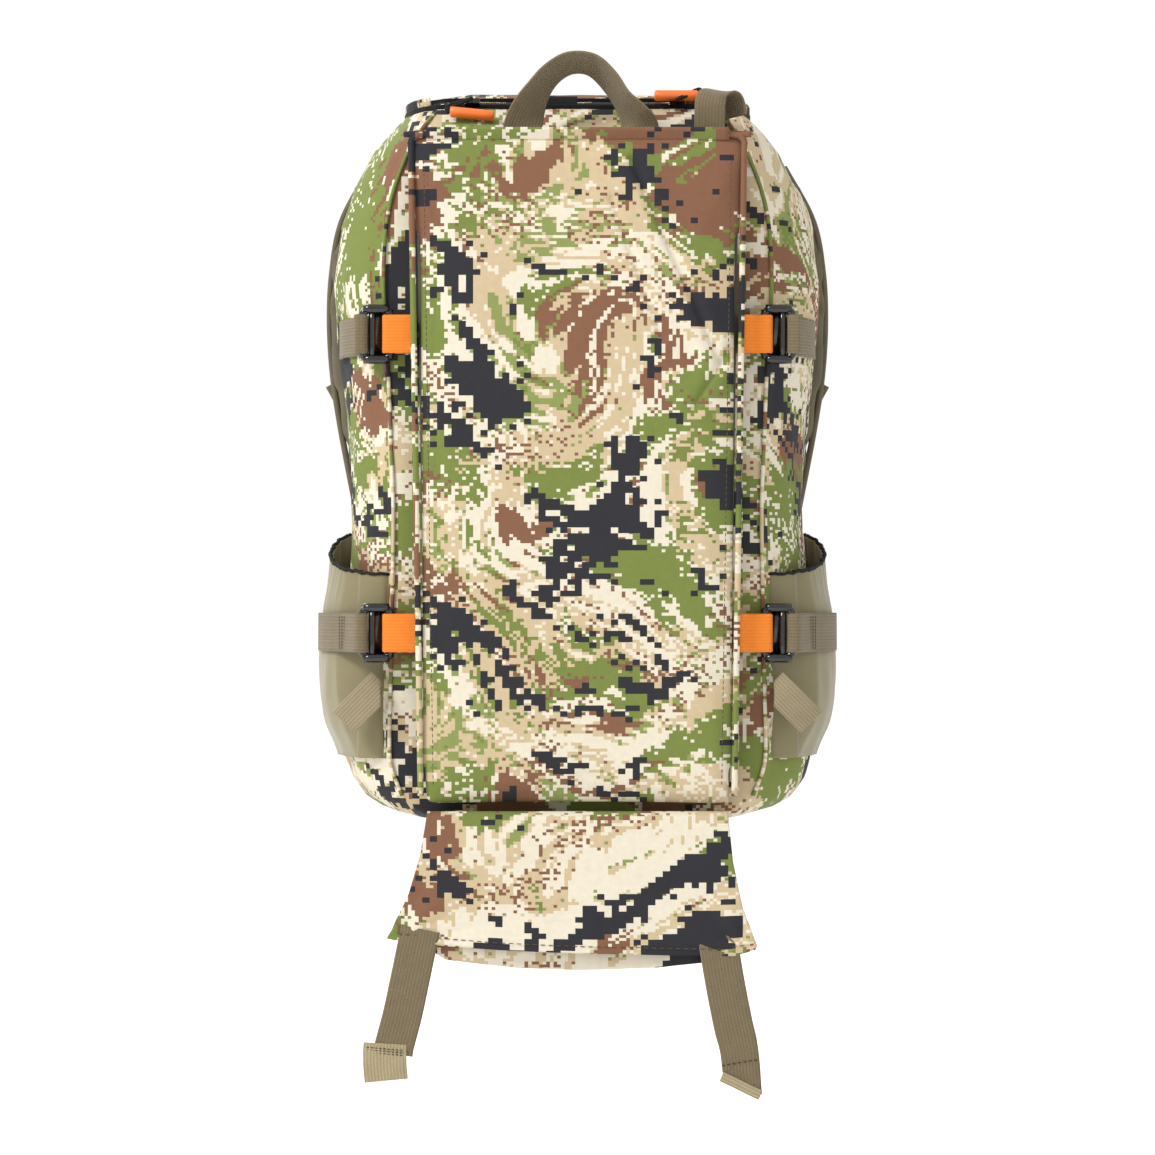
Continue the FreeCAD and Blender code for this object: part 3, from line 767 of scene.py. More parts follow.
# Binding round the panel's edge, a stitched hem along its top, and stitches inside the edge.
edge_y = PANEL_CENTRE.y - 3 * MM
route = [(side * (panel_edge(z) - 0.6 * MM), edge_y, z) for side, zs in (
    (-1, np.linspace(PANEL_LOW.z + 6 * MM, PANEL_HIGH.z - 12 * MM, 10)),
    (1, np.linspace(PANEL_HIGH.z - 12 * MM, PANEL_LOW.z + 6 * MM, 10))) for z in zs]
top_edge, top_z = panel_edge(PANEL_HIGH.z), PANEL_HIGH.z - 2.4 * MM
bend = [(0.5, 6.5), (1.4, 3.2), (3.2, 1.2), (6.5, 0.2),
        (12, 0)]  # mm in from the edge and down from the top
corners = [(-top_edge + x * MM, edge_y, top_z - z * MM) for x, z in bend]
corners += [(top_edge - x * MM, edge_y, top_z - z * MM) for x, z in bend[::-1]]
route = route[:10] + corners + route[10:]
finished(tube("panel_binding", route, 2.0 * MM, count=260), CAMO_PANEL, "front_panel", "camo_fabric")
hem_points = [(x, PANEL_LOW.y + 3.2 * MM, PANEL_HIGH.z - 2.2 * MM) for x in np.linspace(-0.098, 0.098, 9)]
hem = webbing("panel_top_hem", hem_points, (0, -0.5, 1), 9 * MM, 2.2 * MM, count=60)
finished(hem, CAMO_PANEL, "front_panel", "camo_fabric")
stitch_y = PANEL_LOW.y + 0.4 * MM
for name, side in SIDES.items():
    line = [(side * (panel_edge(z) - 9 * MM), stitch_y, z)
            for z in (PANEL_HIGH.z - 0.02, PANEL_LOW.z + 0.012)]
    finished(threads(f"panel_stitches_{name}", running_stitch(line)), THREAD, "front_panel", "camo_fabric")

recolour("panel_stiffener", SHEET_PLASTIC)
backing = slab("panel_backing", Vector((PANEL_LOW.x + 5 * MM, PANEL_HIGH.y + 1.7 * MM,
                                        PANEL_LOW.z + 5 * MM)),
               Vector((PANEL_HIGH.x - 5 * MM, PANEL_HIGH.y + 2.5 * MM, PANEL_HIGH.z - 5 * MM)), 10 * MM,
               taper=0.06)
finished(backing, LINING, "front_panel", "camo_fabric")

# ---------------------------------------------------------------- the side pockets' shape

POCKET_COLUMNS, POCKET_ROWS = 150, 90


def smooth(at, places, numbers, reach):
    """Numbers between places, with the corners rounded over reach each way."""
    return float(np.mean(np.interp(np.linspace(at - reach, at + reach, 9), places, numbers)))


def pocket_mouth(y):
    return -0.345 + (y / 0.200) * 0.037


def pocket_out(y, z):
    """How far out the stretch pocket stands at a depth and height, before its folds."""
    plan = smooth(y, [0.009, 0.022, 0.042, 0.065, 0.085, 0.105, 0.128, 0.145, 0.160, 0.172],
                           [0.1415, 0.156, 0.166, 0.171, 0.173, 0.173, 0.171, 0.168, 0.162, 0.153], 0.007)
    limit = smooth(z, [-0.462, -0.452, -0.436, -0.404, -0.368, -0.340, -0.300],
                            [0.1575, 0.1655, 0.1715, 0.1735, 0.1715, 0.1655, 0.1640], 0.012)
    return plan - 0.173 + limit if plan > 0.15 else plan


# ---------------------------------------------------------------- buckles and compression straps


def rounded_loop(width, height, corner, steps=6):
    """Points round a rectangle with rounded corners, in X and Z."""
    points = []
    for cx, cz, begin in ((1, 1, 0), (-1, 1, 90), (-1, -1, 180), (1, -1, 270)):
        for k in range(steps + 1):
            angle = math.radians(begin + 90 * k / steps)
            points.append((cx * (width / 2 - corner) + corner * math.cos(angle),
                           cz * (height / 2 - corner) + corner * math.sin(angle)))
    return points


def join(name, objects):
    """One mesh object from several."""
    bm = bmesh.new()
    for obj in objects:
        bm.from_mesh(obj.data)
        bpy.data.objects.remove(obj)
    mesh = bpy.data.meshes.new(name)
    bm.to_mesh(mesh)
    bm.free()
    mesh.polygons.foreach_set("use_smooth", [True] * len(mesh.polygons))
    return linked(name, mesh)


def bar_buckle(name, node, side):
    """Moulded frame with rounded ends, an outer pair of upright bars, and one under the orange loop."""
    low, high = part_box(node)
    centre, size = (low + high) / 2, high - low
    bar = 2.7 * MM
    ring = [(centre.x + x, centre.y, centre.z + z) for x,
            z in rounded_loop(size.x - 2 * bar, size.z - 2 * bar, 5.5 * MM)]
    pieces = [tube(f"{name}_ring", ring, bar, sides=14, closed=True)]
    for offset, radius in ((0.5 * size.x - 9.2 * MM, 2.2 * MM), (-0.5 * size.x + 3.0 * MM, 2.4 * MM)):
        x = centre.x + side * offset
        reach = size.z / 2 - 3 * MM
        pieces.append(tube(f"{name}_bar", [(x, centre.y, centre.z + t * reach)
                                           for t in (-1, -0.5, 0, 0.5, 1)], radius, sides=14))
    for end in (-1, 1):
        z = centre.z + end * (size.z / 2 - 2.6 * MM)
        pieces.append(tube(f"{name}_shoulder",
                           [(centre.x + t * (size.x / 2 - 3.5 * MM), centre.y - 0.5 * MM, z)
                                               for t in (-1, -0.5, 0, 0.5, 1)], 2.9 * MM, sides=14))
    # A flat black plate behind the slot between the bars: painted shadow, a dark sheet that stands for the
    # shade inside the buckle.
    shadow_plate_low = Vector((centre.x - size.x * 0.22, centre.y + 1.4 * MM, low.z + 5 * MM))
    shadow_plate_high = Vector((centre.x + size.x * 0.22, centre.y + 2.4 * MM, high.z - 5 * MM))
    pieces.append(slab(f"{name}_web", shadow_plate_low, shadow_plate_high, 1.5 * MM))
    return finished(join(name, pieces), BLACK, "bag", "black_plastic", node)


def side_surface(z, y, lift):
    """A point on the bag's right side at depth y, lifted off the cloth."""
    ring = around(z, BAG_COLUMNS)[:BAG_COLUMNS // 2 + 1]
    ring = [p for p in ring if p.x > 0.09]
    nearest = min(ring, key=lambda p: abs(p.y - y))
    return Vector((nearest.x + lift, y, z))


def bartack(centre, across, along, width, rows, pitch=2.2 * MM):
    """Rows of stitches across a strap: the end points of each."""
    across, along, centre = Vector(across).normalized(), Vector(along).normalized(), Vector(centre)
    pairs = []
    for row in range(rows):
        middle = centre + along * (row - (rows - 1) / 2) * pitch
        count = int(width / (1.9 * MM))
        for i in range(count):
            at = (i + 0.5) / count - 0.5
            pairs.append((tuple(middle + across * (at * width - 0.7 * MM)),
                          tuple(middle + across * (at * width + 0.7 * MM))))
    return pairs


for name, side in SIDES.items():
    for level, z, tilt in (("upper", UPPER_Z, 0.0), ("lower", LOWER_Z, 0.04)):
        bar_buckle(f"buckle_{level}_{name}_moulding", f"buckle_{level}_{name}", side)
        low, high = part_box(f"buckle_{level}_{name}")
        outer_x = max(abs(low.x), abs(high.x)) - 2.3 * MM
        lift = 3.0 * MM if level == "upper" else 11 * MM
        route = [Vector((outer_x - 2.2 * MM, BUCKLE_Y + 3.2 * MM, z)),
                 Vector((outer_x - 2.9 * MM, BUCKLE_Y - 1.5 * MM, z)),
                 Vector((outer_x + 0.4 * MM, BUCKLE_Y - 3.6 * MM, z)),
                 Vector((outer_x + 4.2 * MM, BUCKLE_Y - 1.0 * MM, z)),
                 side_surface(z, 0.016, lift * 0.8 + 1 * MM), side_surface(z, 0.030, lift)]
        if level == "upper":
            route += [side_surface(z, 0.050, lift - 0.5 * MM), side_surface(z, 0.070, lift - 1.8 * MM)]
        else:
            route[4:] = [Vector((pocket_out(y, z) + out * MM, y, z)) for y, out in
                         ((0.012, 6.5), (0.020, 4.5), (0.030, 3.4), (0.042, 3.0), (0.054, 2.8),
                          (0.064, 2.2))]
        route = [Vector((p.x * side, p.y, p.z)) for p in route]
        strap = webbing(f"compression_{level}_{name}_strap", route, (0, tilt, 1), WEBBING, 1.7 * MM,
                        count=70)
        finished(strap, TAUPE, "bag", "taupe_webbing", f"compression_strap_{level}_{name}")
        under = [Vector((side * (outer_x - 1.8 * MM), BUCKLE_Y + 3.4 * MM, z)),
                 Vector((side * (outer_x + 4.5 * MM), BUCKLE_Y + 4.6 * MM, z))]
        under += [Vector((p.x - side * 2.1 * MM, p.y + 0.4 * MM, p.z)) for p in route[4:6]]
        finished(webbing(f"compression_{level}_{name}_return", under, (0, tilt, 1), WEBBING, 1.7 * MM,
                         count=40),
                 TAUPE, "bag", "taupe_webbing")
        tack_at = route[4] + Vector((side * 1.0 * MM, -0.8 * MM, 0))
        tacks = bartack(tack_at, (0, 0, 1), (side * 0.75, 0.66, 0), 22 * MM, 4)
        finished(threads(f"compression_{level}_{name}_tacks", tacks), DARK_THREAD, "bag", "taupe_webbing")

        # The orange loop comes off the panel's edge, goes round the inner bar and back under itself.
        bar_x = min(abs(low.x), abs(high.x)) + 3.0 * MM
        front_y, rear_y = BUCKLE_Y - 3.7 * MM, BUCKLE_Y + 3.7 * MM
        inner = panel_edge(z) - 2 * MM
        loop = [(inner, front_y - 1.2 * MM, z), ((inner + bar_x) / 2, front_y - 0.6 * MM, z),
                (bar_x + 0.5 * MM, front_y, z),
                (bar_x + 4.0 * MM, BUCKLE_Y - 2.4 * MM, z), (bar_x + 4.4 * MM, BUCKLE_Y + 0.6 * MM, z),
                (bar_x + 2.4 * MM, rear_y, z), ((inner + bar_x) / 2, rear_y, z),
                (inner, rear_y - 0.5 * MM, z)]
        loop = [(side * x, y, h) for x, y, h in loop]
        strap = webbing(f"orange_loop_{level}_{name}", loop, (0, 0, 1), 25.0 * MM, 1.5 * MM, count=80)
        finished(strap, ORANGE, "front_panel", "orange_webbing", f"panel_loop_{level}_{name}")

# ---------------------------------------------------------------- haul handle and loops

HANDLE_Y = mid("haul_handle_root_left").y


def tilted(along, turn):
    """The width direction of webbing that runs along a direction in X and Z, turned towards Y."""
    along = Vector((along[0], 0, along[1])).normalized()
    flat = Vector((along.z, 0, -along.x))
    return flat * math.cos(math.radians(turn)) + Vector((0, 1, 0)) * math.sin(math.radians(turn))


handle_route = [((-36, -92), (0, 1), 0), ((-36, -70), (0, 1), 0), ((-36, -55), (0.05, 1), 3),
                ((-32.5, -42), (0.35, 1), 28),
                ((-26, -29), (0.55, 1), 52), ((-17, -17.5), (0.85, 0.8), 60), ((-5, -10.5), (1, 0.25), 62),
                ((9, -11.5), (1, -0.5), 62), ((20, -21), (0.75, -1), 62), ((29, -34), (0.55, -1), 62),
                ((37, -45), (0.4, -1), 40), ((40.5, -54), (0.1, -1), 6), ((41, -70), (0, -1), 0),
                ((41, -92), (0, -1), 0)]
centres = [(x * MM, HANDLE_Y, z * MM) for (x, z), _, _ in handle_route]
widths = [tuple(tilted(along, turn)) for _, along, turn in handle_route]
handle = webbing("haul_handle_webbing", centres, widths, WEBBING, 1.7 * MM, count=160)
bending(handle, TAUPE, ("bag", "haul_handle"), (0, HANDLE_Y, -0.060), (0, HANDLE_Y, -0.050),
        "taupe_webbing",
        "haul_handle", "haul_handle_root_left", "haul_handle_root_right")

loop_route = [(86, 0.6, -64), (86, 0.4, -48), (86.5, 1.2, -36), (89, 4.2, -29.5), (95, 9.5, -28.2),
              (100.5, 13, -33), (103, 14, -44)]
loop_across = [(1, 0, 0), (1, 0, 0), (1, -0.05, 0), (1, -0.25, -0.1), (1, -0.5, -0.2), (0.8, -0.6, 0),
               (0.8, -0.6, 0)]
top_loop = webbing("top_loop_webbing", [tuple(c * MM for c in p) for p in loop_route], loop_across, NARROW,
                   1.6 * MM, count=80)
finished(top_loop, TAUPE, "bag", "taupe_webbing", "top_loop")

for name, side in SIDES.items():
    route = [(152, -1.5, -439), (145, -7.0, -432), (137, -9.4, -424), (130.5, -8.6, -417.5),
             (127, -4.5, -414),
             (129.5, -0.6, -416.5), (135, 0.9, -422), (142, 1.2, -429), (150, 2.0, -437)]
    points = [(side * x * MM, y * MM, z * MM) for x, y, z in route]
    loop = webbing(f"tool_loop_{name}_webbing", points, (0.7, 0, side * 0.7), NARROW, 1.6 * MM, count=90)
    for vert in loop.data.vertices:
        vert.co.x = side * max(side * vert.co.x, 0.1275)
    finished(loop, TAUPE_COARSE, "bag", "taupe_webbing", f"tool_loop_{name}")

# ---------------------------------------------------------------- zip sliders and pulls

for name in SIDES:
    low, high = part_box(f"zip_slider_{name}")
    body = slab(f"zip_slider_{name}_body", low, high, 2 * MM)
    modifier(body, "SUBSURF", subdivision_type="SIMPLE", levels=2, render_levels=2)
    apply_modifiers(body)
    for vert in body.data.vertices:  # the plate leans back along the slope of the bag's top
        y, z = ((vert.co[a] - low[a]) / (high[a] - low[a]) for a in (1, 2))
        leant = (1 - y) * (1 - z) * Vector((0.35, 0)) + y * (1 - z) * Vector((1, 0.7))
        leant += y * z * Vector((0.72, 1)) + (1 - y) * z * Vector((0, 0.43))
        vert.co.y, vert.co.z = (low[a] + leant[a - 1] * (high[a] - low[a]) for a in (1, 2))
    modifier(body, "BEVEL", width=0.5 * MM, segments=3, limit_method="ANGLE")
    apply_modifiers(body)
    finished(body, BLACK_METAL, f"zip_slider_{name}", "black_metal", f"zip_slider_{name}")
    low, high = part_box(f"zip_pull_{name}")
    centre, half, radius = (low + high) / 2, (high.x - low.x) / 2, (high.z - low.z) / 2
    slant = -0.10 if name == "left" else 0.0
    path, rings = [], []
    for t, r in ((-1, 0.55), (-0.98, 0.86), (-0.93, 1), (-0.5, 1), (0, 1), (0.5, 1), (0.93, 1),
                 (0.98, 0.86), (1, 0.55)):
        path.append(centre + Vector((t * half, 0, slant * t * half)))
        rings.append(r)
    sides = 20
    verts = [p + Vector((0, math.cos(a), math.sin(a))) * radius * r for p, r in zip(path, rings)
             for a in np.linspace(0, 2 * math.pi, sides, endpoint=False)]
    faces = [(i * sides + k, i * sides + (k + 1) % sides, (i + 1) * sides + (k + 1) % sides,
              (i + 1) * sides + k)
             for i in range(len(path) - 1) for k in range(sides)]
    faces += [tuple(range(sides))[::-1], tuple((len(path) - 1) * sides + k for k in range(sides))]
    pull = new_object(f"zip_pull_{name}_tube", verts, faces)
    finished(pull, RUBBER, f"zip_pull_{name}", "orange_tube", f"zip_pull_{name}")
    eye = mid(f"zip_slider_{name}") + Vector((0, -2 * MM, 3 * MM))
    end = path[0] if name == "left" else path[-1]
    out = Vector((-1 if name == "left" else 1, 0, 0)) * MM
    cord = [end - out * 2 + Vector((0, 0, 1.2 * MM)), end + out * 2.4 + Vector((0, 0.4 * MM, 1.6 * MM)),
            end + out * 0.5 + Vector((0, 2 * MM, 4.6 * MM)),
            (end + eye) / 2 + Vector((0, 0.6 * MM, 2.4 * MM)), eye,
            (end + eye) / 2 + Vector((0, -0.4 * MM, 1.0 * MM)),
            end + out * 1.2 + Vector((0, 1 * MM, 2.6 * MM)), end + out * 1.6 + Vector((0, 0, 0.2 * MM)),
            end - out * 2]
    loop = tube(f"zip_pull_{name}_cord", [tuple(p) for p in cord], 1.1 * MM, sides=8, count=70)
    finished(loop, BLACK_CLOTH, f"zip_pull_{name}", "orange_tube")

# ---------------------------------------------------------------- the drop-down flap

SEAM_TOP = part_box("flap_seam")[1].z
FLAP_LOW, FLAP_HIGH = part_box("flap_front")


def flap_half(z, lining):
    """Left and right edges of a flap layer at a height, as it narrows, flares and comes to its corners."""
    fall = (FLAP_HIGH.z - z) / (FLAP_HIGH.z - FLAP_LOW.z)
    if lining:
        return (float(np.interp(fall, [0, 0.3, 0.6, 1.0], [-0.096, -0.098, -0.107, -0.100])),
                float(np.interp(fall, [0, 0.3, 0.6, 0.85, 1.0], [0.096, 0.098, 0.103, 0.105, 0.094])))
    return (float(np.interp(fall, [0, 0.27, 0.55, 0.80, 0.92, 1.0],
                            [-0.097, -0.101, -0.1085, -0.119, -0.1255, -0.1195])),
            float(np.interp(fall, [0, 0.33, 0.66, 0.92, 1.0], [0.097, 0.100, 0.1065, 0.1155, 0.112])))


def flap_bottom(x, lining):
    """The lower edge of a flap layer: it sags between its corners."""
    if lining:
        return float(np.interp(x, [-0.105, -0.085, -0.04, 0.0, 0.05, 0.083, 0.105],
                               [-0.578, -0.591, -0.5965, -0.598, -0.5965, -0.593, -0.578]))
    return float(np.interp(x, [-0.126, -0.110, -0.05, 0.0, 0.06, 0.100, 0.115],
                           [-0.5765, -0.5795, -0.5845, -0.5865, -0.588, -0.5885, -0.584]))


def flap_folds(point, lining):
    """Creases that fan out from the two strap corners, a buckled middle and a soft curl at the hem."""
    fall = min(1.0, max(0.0, (SEAM_TOP - point.z) / 0.085))
    fan = 0.0
    for corner_x, sign in ((FLAP_LOW.x + 0.012, 1), (FLAP_HIGH.x - 0.010, -1)):
        dx, dz = (point.x - corner_x) * sign, point.z - (FLAP_LOW.z + 0.004)
        angle, distance = math.atan2(dz, dx), math.hypot(dx, dz)
        fan += math.sin(angle * 7.0 + sign) * math.exp(-distance / 0.055) * 1.7 * min(1.0, distance / 0.03)
    soft = 1.5 * ripple(point, (21, 10, 13), 4.0 + 3 * lining) + 0.8 * ripple(point, (46, 10, 30), 9.0)
    across = math.sin(point.z * 210 + 5 * ripple(point, (7, 1, 9),
                                                 1.5)) * (0.6 + 0.8 * ripple(point, (9, 1, 6), 12.0))
    roll = 1.6 * math.exp(-((point.z - FLAP_LOW.z - 0.004) / 0.006) ** 2) * (1 - lining)
    return max(-0.5, fall * (1.5 * fan + 1.5 * soft + 1.3 * across + roll))


def flap_layer(name, lining, low_y, thick, rows=90, columns=150):
    """A sheet from the seam under the bag down over the front to the flap's hem."""
    under = [(27 * MM, -504.4 * MM), (15 * MM, -504.4 * MM), (4 * MM, -503.8 * MM), (-8 * MM, -502.4 * MM),
             (-18 * MM, -499 * MM), (-25 * MM, -496.2 * MM)]
    verts, uvs = [], []
    for j in range(rows):
        t = j / (rows - 1)
        row = []
        for i in range(columns):
            s = i / (columns - 1)
            if lining:
                start_y, start_z = low_y, FLAP_HIGH.z - 4 * MM
                fall = t
            elif t < 0.18:
                y, z = spline([(a, b, 0) for a, b in under], 24)[int(t / 0.18 * 23)][:2]
                row.append(Vector((-0.0968 + 0.1936 * s, y, z)))
                continue
            else:
                start_y, start_z, fall = low_y, FLAP_HIGH.z, (t - 0.18) / 0.82
            left, right = flap_half(start_z, lining)
            x = left + (right - left) * s
            z = start_z
            for _ in range(3):
                z = start_z + (flap_bottom(x, lining) - start_z) * fall
                left, right = flap_half(z, lining)
                x = left + (right - left) * s
            row.append(Vector((x, start_y, z)))
        verts += row
    verts = [Vector((p.x, p.y - MM * flap_folds(p, lining), p.z)) if p.z < FLAP_HIGH.z - 2 * MM else p
             for p in verts]
    for j in range(rows):
        for i in range(columns):
            p = verts[j * columns + i]
            above = uvs[(j - 1) * columns + i][1] if j else 0.0
            step = (p - verts[(j - 1) * columns + i]).length if j else 0.0
            uvs.append((p.x, above - step))
    obj = new_object(name, verts, [face[::-1] for face in grid_faces(rows, columns)], uvs)
    modifier(obj, "SOLIDIFY", thickness=thick, offset=0)
    return apply_modifiers(obj)


flap = flap_layer("flap_front_cloth", False, (FLAP_LOW.y + FLAP_HIGH.y) / 2, 2.2 * MM)
bending(flap, CAMO_FLAP, ("bag", "flap"), (0, -0.0250, -0.4968), (0, -0.0300, -0.5040), "camo_fabric",
        "flap_front", "flap_seam")
lining_low, lining_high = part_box("flap_lining")
back_layer = flap_layer("flap_lining_cloth", True, (lining_low.y + lining_high.y) / 2 + 1.6 * MM, 1.4 * MM)
finished(back_layer, CAMO_FLAP, "flap", "camo_lining", "flap_lining")

hem_line = [(x, FLAP_LOW.y - 0.3 * MM, flap_bottom(x, False) + 4.5 * MM)
            for x in np.linspace(FLAP_LOW.x + 0.010, FLAP_HIGH.x - 0.006, 12)]
hem_line = [(x, y - MM * flap_folds(Vector((x, y, z)), False), z) for x, y, z in hem_line]
finished(threads("flap_hem_stitches", running_stitch(hem_line, 3.0 * MM, 1.4 * MM)), THREAD, "flap",
         "camo_fabric")

STRAP_ROUTES = {
    "left": [(-101, -571), (-104.5, -588), (-108, -605), (-112.5, -626), (-117.5, -645), (-118.5, -651)],
    "right": [(89.5, -573), (92.5, -592), (96, -612), (100, -632), (104, -650), (106, -669)]}
# mm behind the CAD strap's middle, from between the flap's layers down
STRAP_DEPTHS = [2.2, 0.6, -0.2, -1.0, -0.6, -0.4]


for name, route in STRAP_ROUTES.items():
    strap_low, strap_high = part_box(f"flap_strap_{name}")
    y, side, body = (strap_low.y + strap_high.y) / 2, SIDES[name], f"flap_strap_{name}"
    points = [(x * MM, y + depth * MM, z * MM) for (x, z), depth in zip(route, STRAP_DEPTHS)]
    across = (0.985, 0, -0.17 * side)
    strap = webbing(f"{body}_webbing", points, across, WEBBING, 1.8 * MM, count=90)
    if side > 0:  # this end is cut and folded on the slant
        for vert in strap.data.vertices:
            drop = max(0.0, min(1.0, (-0.640 - vert.co.z) / 0.028))
            vert.co.z -= drop * ((vert.co.x - 0.0935) * 0.55 - 0.004)
        edge = [(x, y - 2.0 * MM, z) for x, z in ((0.0925, -0.6655), (0.100, -0.6690), (0.109, -0.6735),
                                                  (0.1175, -0.6775))]
        tab = webbing(f"{body}_fold", edge, (-0.42, 0, 0.9), 6.5 * MM, 1.8 * MM, count=24)
        crease = [(x, y - 1.9 * MM, z) for x, z in ((0.0925, -0.6585), (0.1165, -0.6545))]
        extra = running_stitch(crease, 2.2 * MM, 1.0 * MM)
    else:  # this end is folded back square, showing the coarse underside
        edge = [(-0.1235, y - 1.2 * MM, -0.6445), (-0.1238, y - 2.6 * MM, -0.6500),
                (-0.1236, y - 2.8 * MM, -0.6590), (-0.1228, y - 2.0 * MM, -0.6680)]
        tab = webbing(f"{body}_fold", edge, (0.995, 0.03, -0.09), 28 * MM, 2.0 * MM, count=40)
        extra = []
        for k in range(3):
            middle = Vector((-0.1235, y - 3.6 * MM, -0.6475 - k * 0.0016))
            extra += running_stitch([middle - Vector((0.012, 0, -0.0011)),
                                     middle + Vector((0.012, 0, -0.0011))], 1.8 * MM, 0.8 * MM)
    hinge_z = -0.5755 if side < 0 else -0.5815
    bending(strap, TAUPE, ("flap", body), (0, y, hinge_z + 3 * MM), (0, y, hinge_z - 6 * MM),
            "taupe_webbing", body)
    finished(tab, TAUPE_PALE, body, "taupe_webbing")
    finished(threads(f"{body}_stitches", extra), DARK_THREAD, body, "taupe_webbing")

# ---------------------------------------------------------------- side pockets

# The bag's side in plan, which the pocket's edges lie against.
BAG_SIDE_Y = [0.002, 0.010, 0.020, 0.038, 0.060, 0.085, 0.120, 0.144, 0.164, 0.179]
BAG_SIDE_X = [0.110, 0.132, 0.1415, 0.1515, 0.158, 0.161, 0.1605, 0.158, 0.153, 0.143]

for name, side in SIDES.items():
    verts, uvs = [], []
    for j in range(POCKET_ROWS):
        t = j / (POCKET_ROWS - 1)
        for i in range(POCKET_COLUMNS):
            s = i / (POCKET_COLUMNS - 1)
            y = 0.009 + 0.163 * s
            top, low = pocket_mouth(y), -0.463
            z = low + (top - low) * t
            x = pocket_out(y, z)
            hug = half_width(z) / PLAN_HALF * smooth(y, BAG_SIDE_Y, BAG_SIDE_X, 0.004)
            x = max(x, hug + 0.8 * MM)
            ends = min(1.0, s / 0.10, (1 - s) / 0.10)
            x = hug + (x - hug) * ends ** 0.6 + 0.6 * MM
            near_top = math.exp(-((1 - t) / 0.16) ** 2)
            gather = math.sin(s * 60 + 2 * ripple((y, 0, 0), (30, 1, 1))) * 0.5
            gather += ripple((y, z, 0), (190, 20, 1), 4.0)
            drape = ripple((y, z, 0), (34, 24, 1), 6.0 + side)
            drape += 0.5 * ripple((y, z + 0.8 * y, 0), (70, 38, 1), 2.0)
            x += (1.1 * near_top * gather + 1.4 * ends * drape * (1 - near_top)) * MM
            verts.append((side * x, y, z))
            uvs.append((y, z))
    faces = [face[::side] for face in grid_faces(POCKET_ROWS, POCKET_COLUMNS)]
    pocket = new_object(f"side_pocket_{name}_cloth", verts, faces, uvs)
    modifier(pocket, "SOLIDIFY", thickness=1.5 * MM, offset=-1)
    apply_modifiers(pocket)
    finished(pocket, OLIVE, "bag", "olive_stretch", f"side_pocket_{name}")
    rim = [Vector(verts[(POCKET_ROWS - 1) * POCKET_COLUMNS + i]) + Vector((side * 0.2 * MM, 0, 0.4 * MM))
           for i in range(POCKET_COLUMNS)]
    binding = tube(f"side_pocket_{name}_elastic", [tuple(p) for p in rim], 1.3 * MM, sides=12, squash=0.8)
    for i, vert in enumerate(binding.data.vertices):
        vert.co.z += 0.5 * MM * math.sin(i // 12 * 1.9)
    finished(binding, BLACK_CLOTH, "bag", "olive_stretch")
    front_edge = [Vector(verts[j * POCKET_COLUMNS]) + Vector((side * 0.4 * MM, -0.6 * MM, 0))
                  for j in range(0, POCKET_ROWS, 6)]
    finished(tube(f"side_pocket_{name}_front_piping", [tuple(p) for p in front_edge], 1.4 * MM, count=90),
             CAMO, "bag", "camo_fabric")

# ---------------------------------------------------------------- back, harness and inside


def block(name, outline_left, outline_right, heights_z, near, far):
    """A closed block from two edges (x at each height), between two faces in Y, for a pad to start from."""
    verts, faces = [], []
    rows = len(heights_z)
    for i in range(rows):
        near_y = near[i] if np.ndim(near) else near
        far_y = far[i] if np.ndim(far) else far
        for x, y in ((outline_left[i], near_y), (outline_right[i], near_y), (outline_right[i], far_y),
                     (outline_left[i], far_y)):
            verts.append((x, y, heights_z[i]))
    for i in range(rows - 1):
        for k in range(4):
            n = (k + 1) % 4
            faces.append((i * 4 + k, i * 4 + n, i * 4 + 4 + n, i * 4 + 4 + k))
    faces.append((3, 2, 1, 0))
    faces.append(tuple((rows - 1) * 4 + k for k in range(4)))
    obj = new_object(name, verts, faces)
    bm = bmesh.new()
    bm.from_mesh(obj.data)
    bmesh.ops.recalc_face_normals(bm, faces=bm.faces)
    bm.to_mesh(obj.data)
    bm.free()
    return obj


def pad(name, obj, material, body, slot, node, channels=(), cap=5 * MM, face=1):
    """Swells a block into a pad and presses its sewn channels (heights) into the face away from the bag."""
    low, high = Vector(obj.bound_box[0]), Vector(obj.bound_box[6])
    inflate(obj, 5 * MM, 4.0, cap)
    fit(obj, low - Vector((1.5, 0, 1.5)) * MM, high + Vector((1.5, 2, 1.5)) * MM)
    for vert in obj.data.vertices:
        sunk = sum(math.exp(-((vert.co.z - z) / 0.004) ** 2) for z in channels)
        vert.co.y -= 2.6 * MM * face * sunk
    return finished(obj, material, body, slot, node)


gap = 2.4 * MM
for name, side in SIDES.items():
    low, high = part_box(f"back_pad_{name}")
    zs = np.linspace(low.z + gap, high.z - gap, 12)
    piece = block(f"back_pad_{name}_spacer", [low.x + gap] * 12, [high.x - gap] * 12, zs, low.y + 0.6 * MM,
                  high.y - gap)
    channels = [low.z + (high.z - low.z) * t for t in (0.2, 0.4, 0.6, 0.8)]
    pad(name, piece, SPACER, "bag", "harness_fabric", f"back_pad_{name}", channels, 4 * MM)
    middle = (low + high) / 2
    ring = [(middle.x + x, low.y + 2.2 * MM, middle.z + z)
            for x, z in rounded_loop(high.x - low.x + 1 * MM, high.z - low.z + 1 * MM, 12 * MM)]
    finished(tube(f"back_pad_{name}_binding", ring, 2.2 * MM, closed=True), BLACK_CLOTH, "bag",
             "harness_fabric")

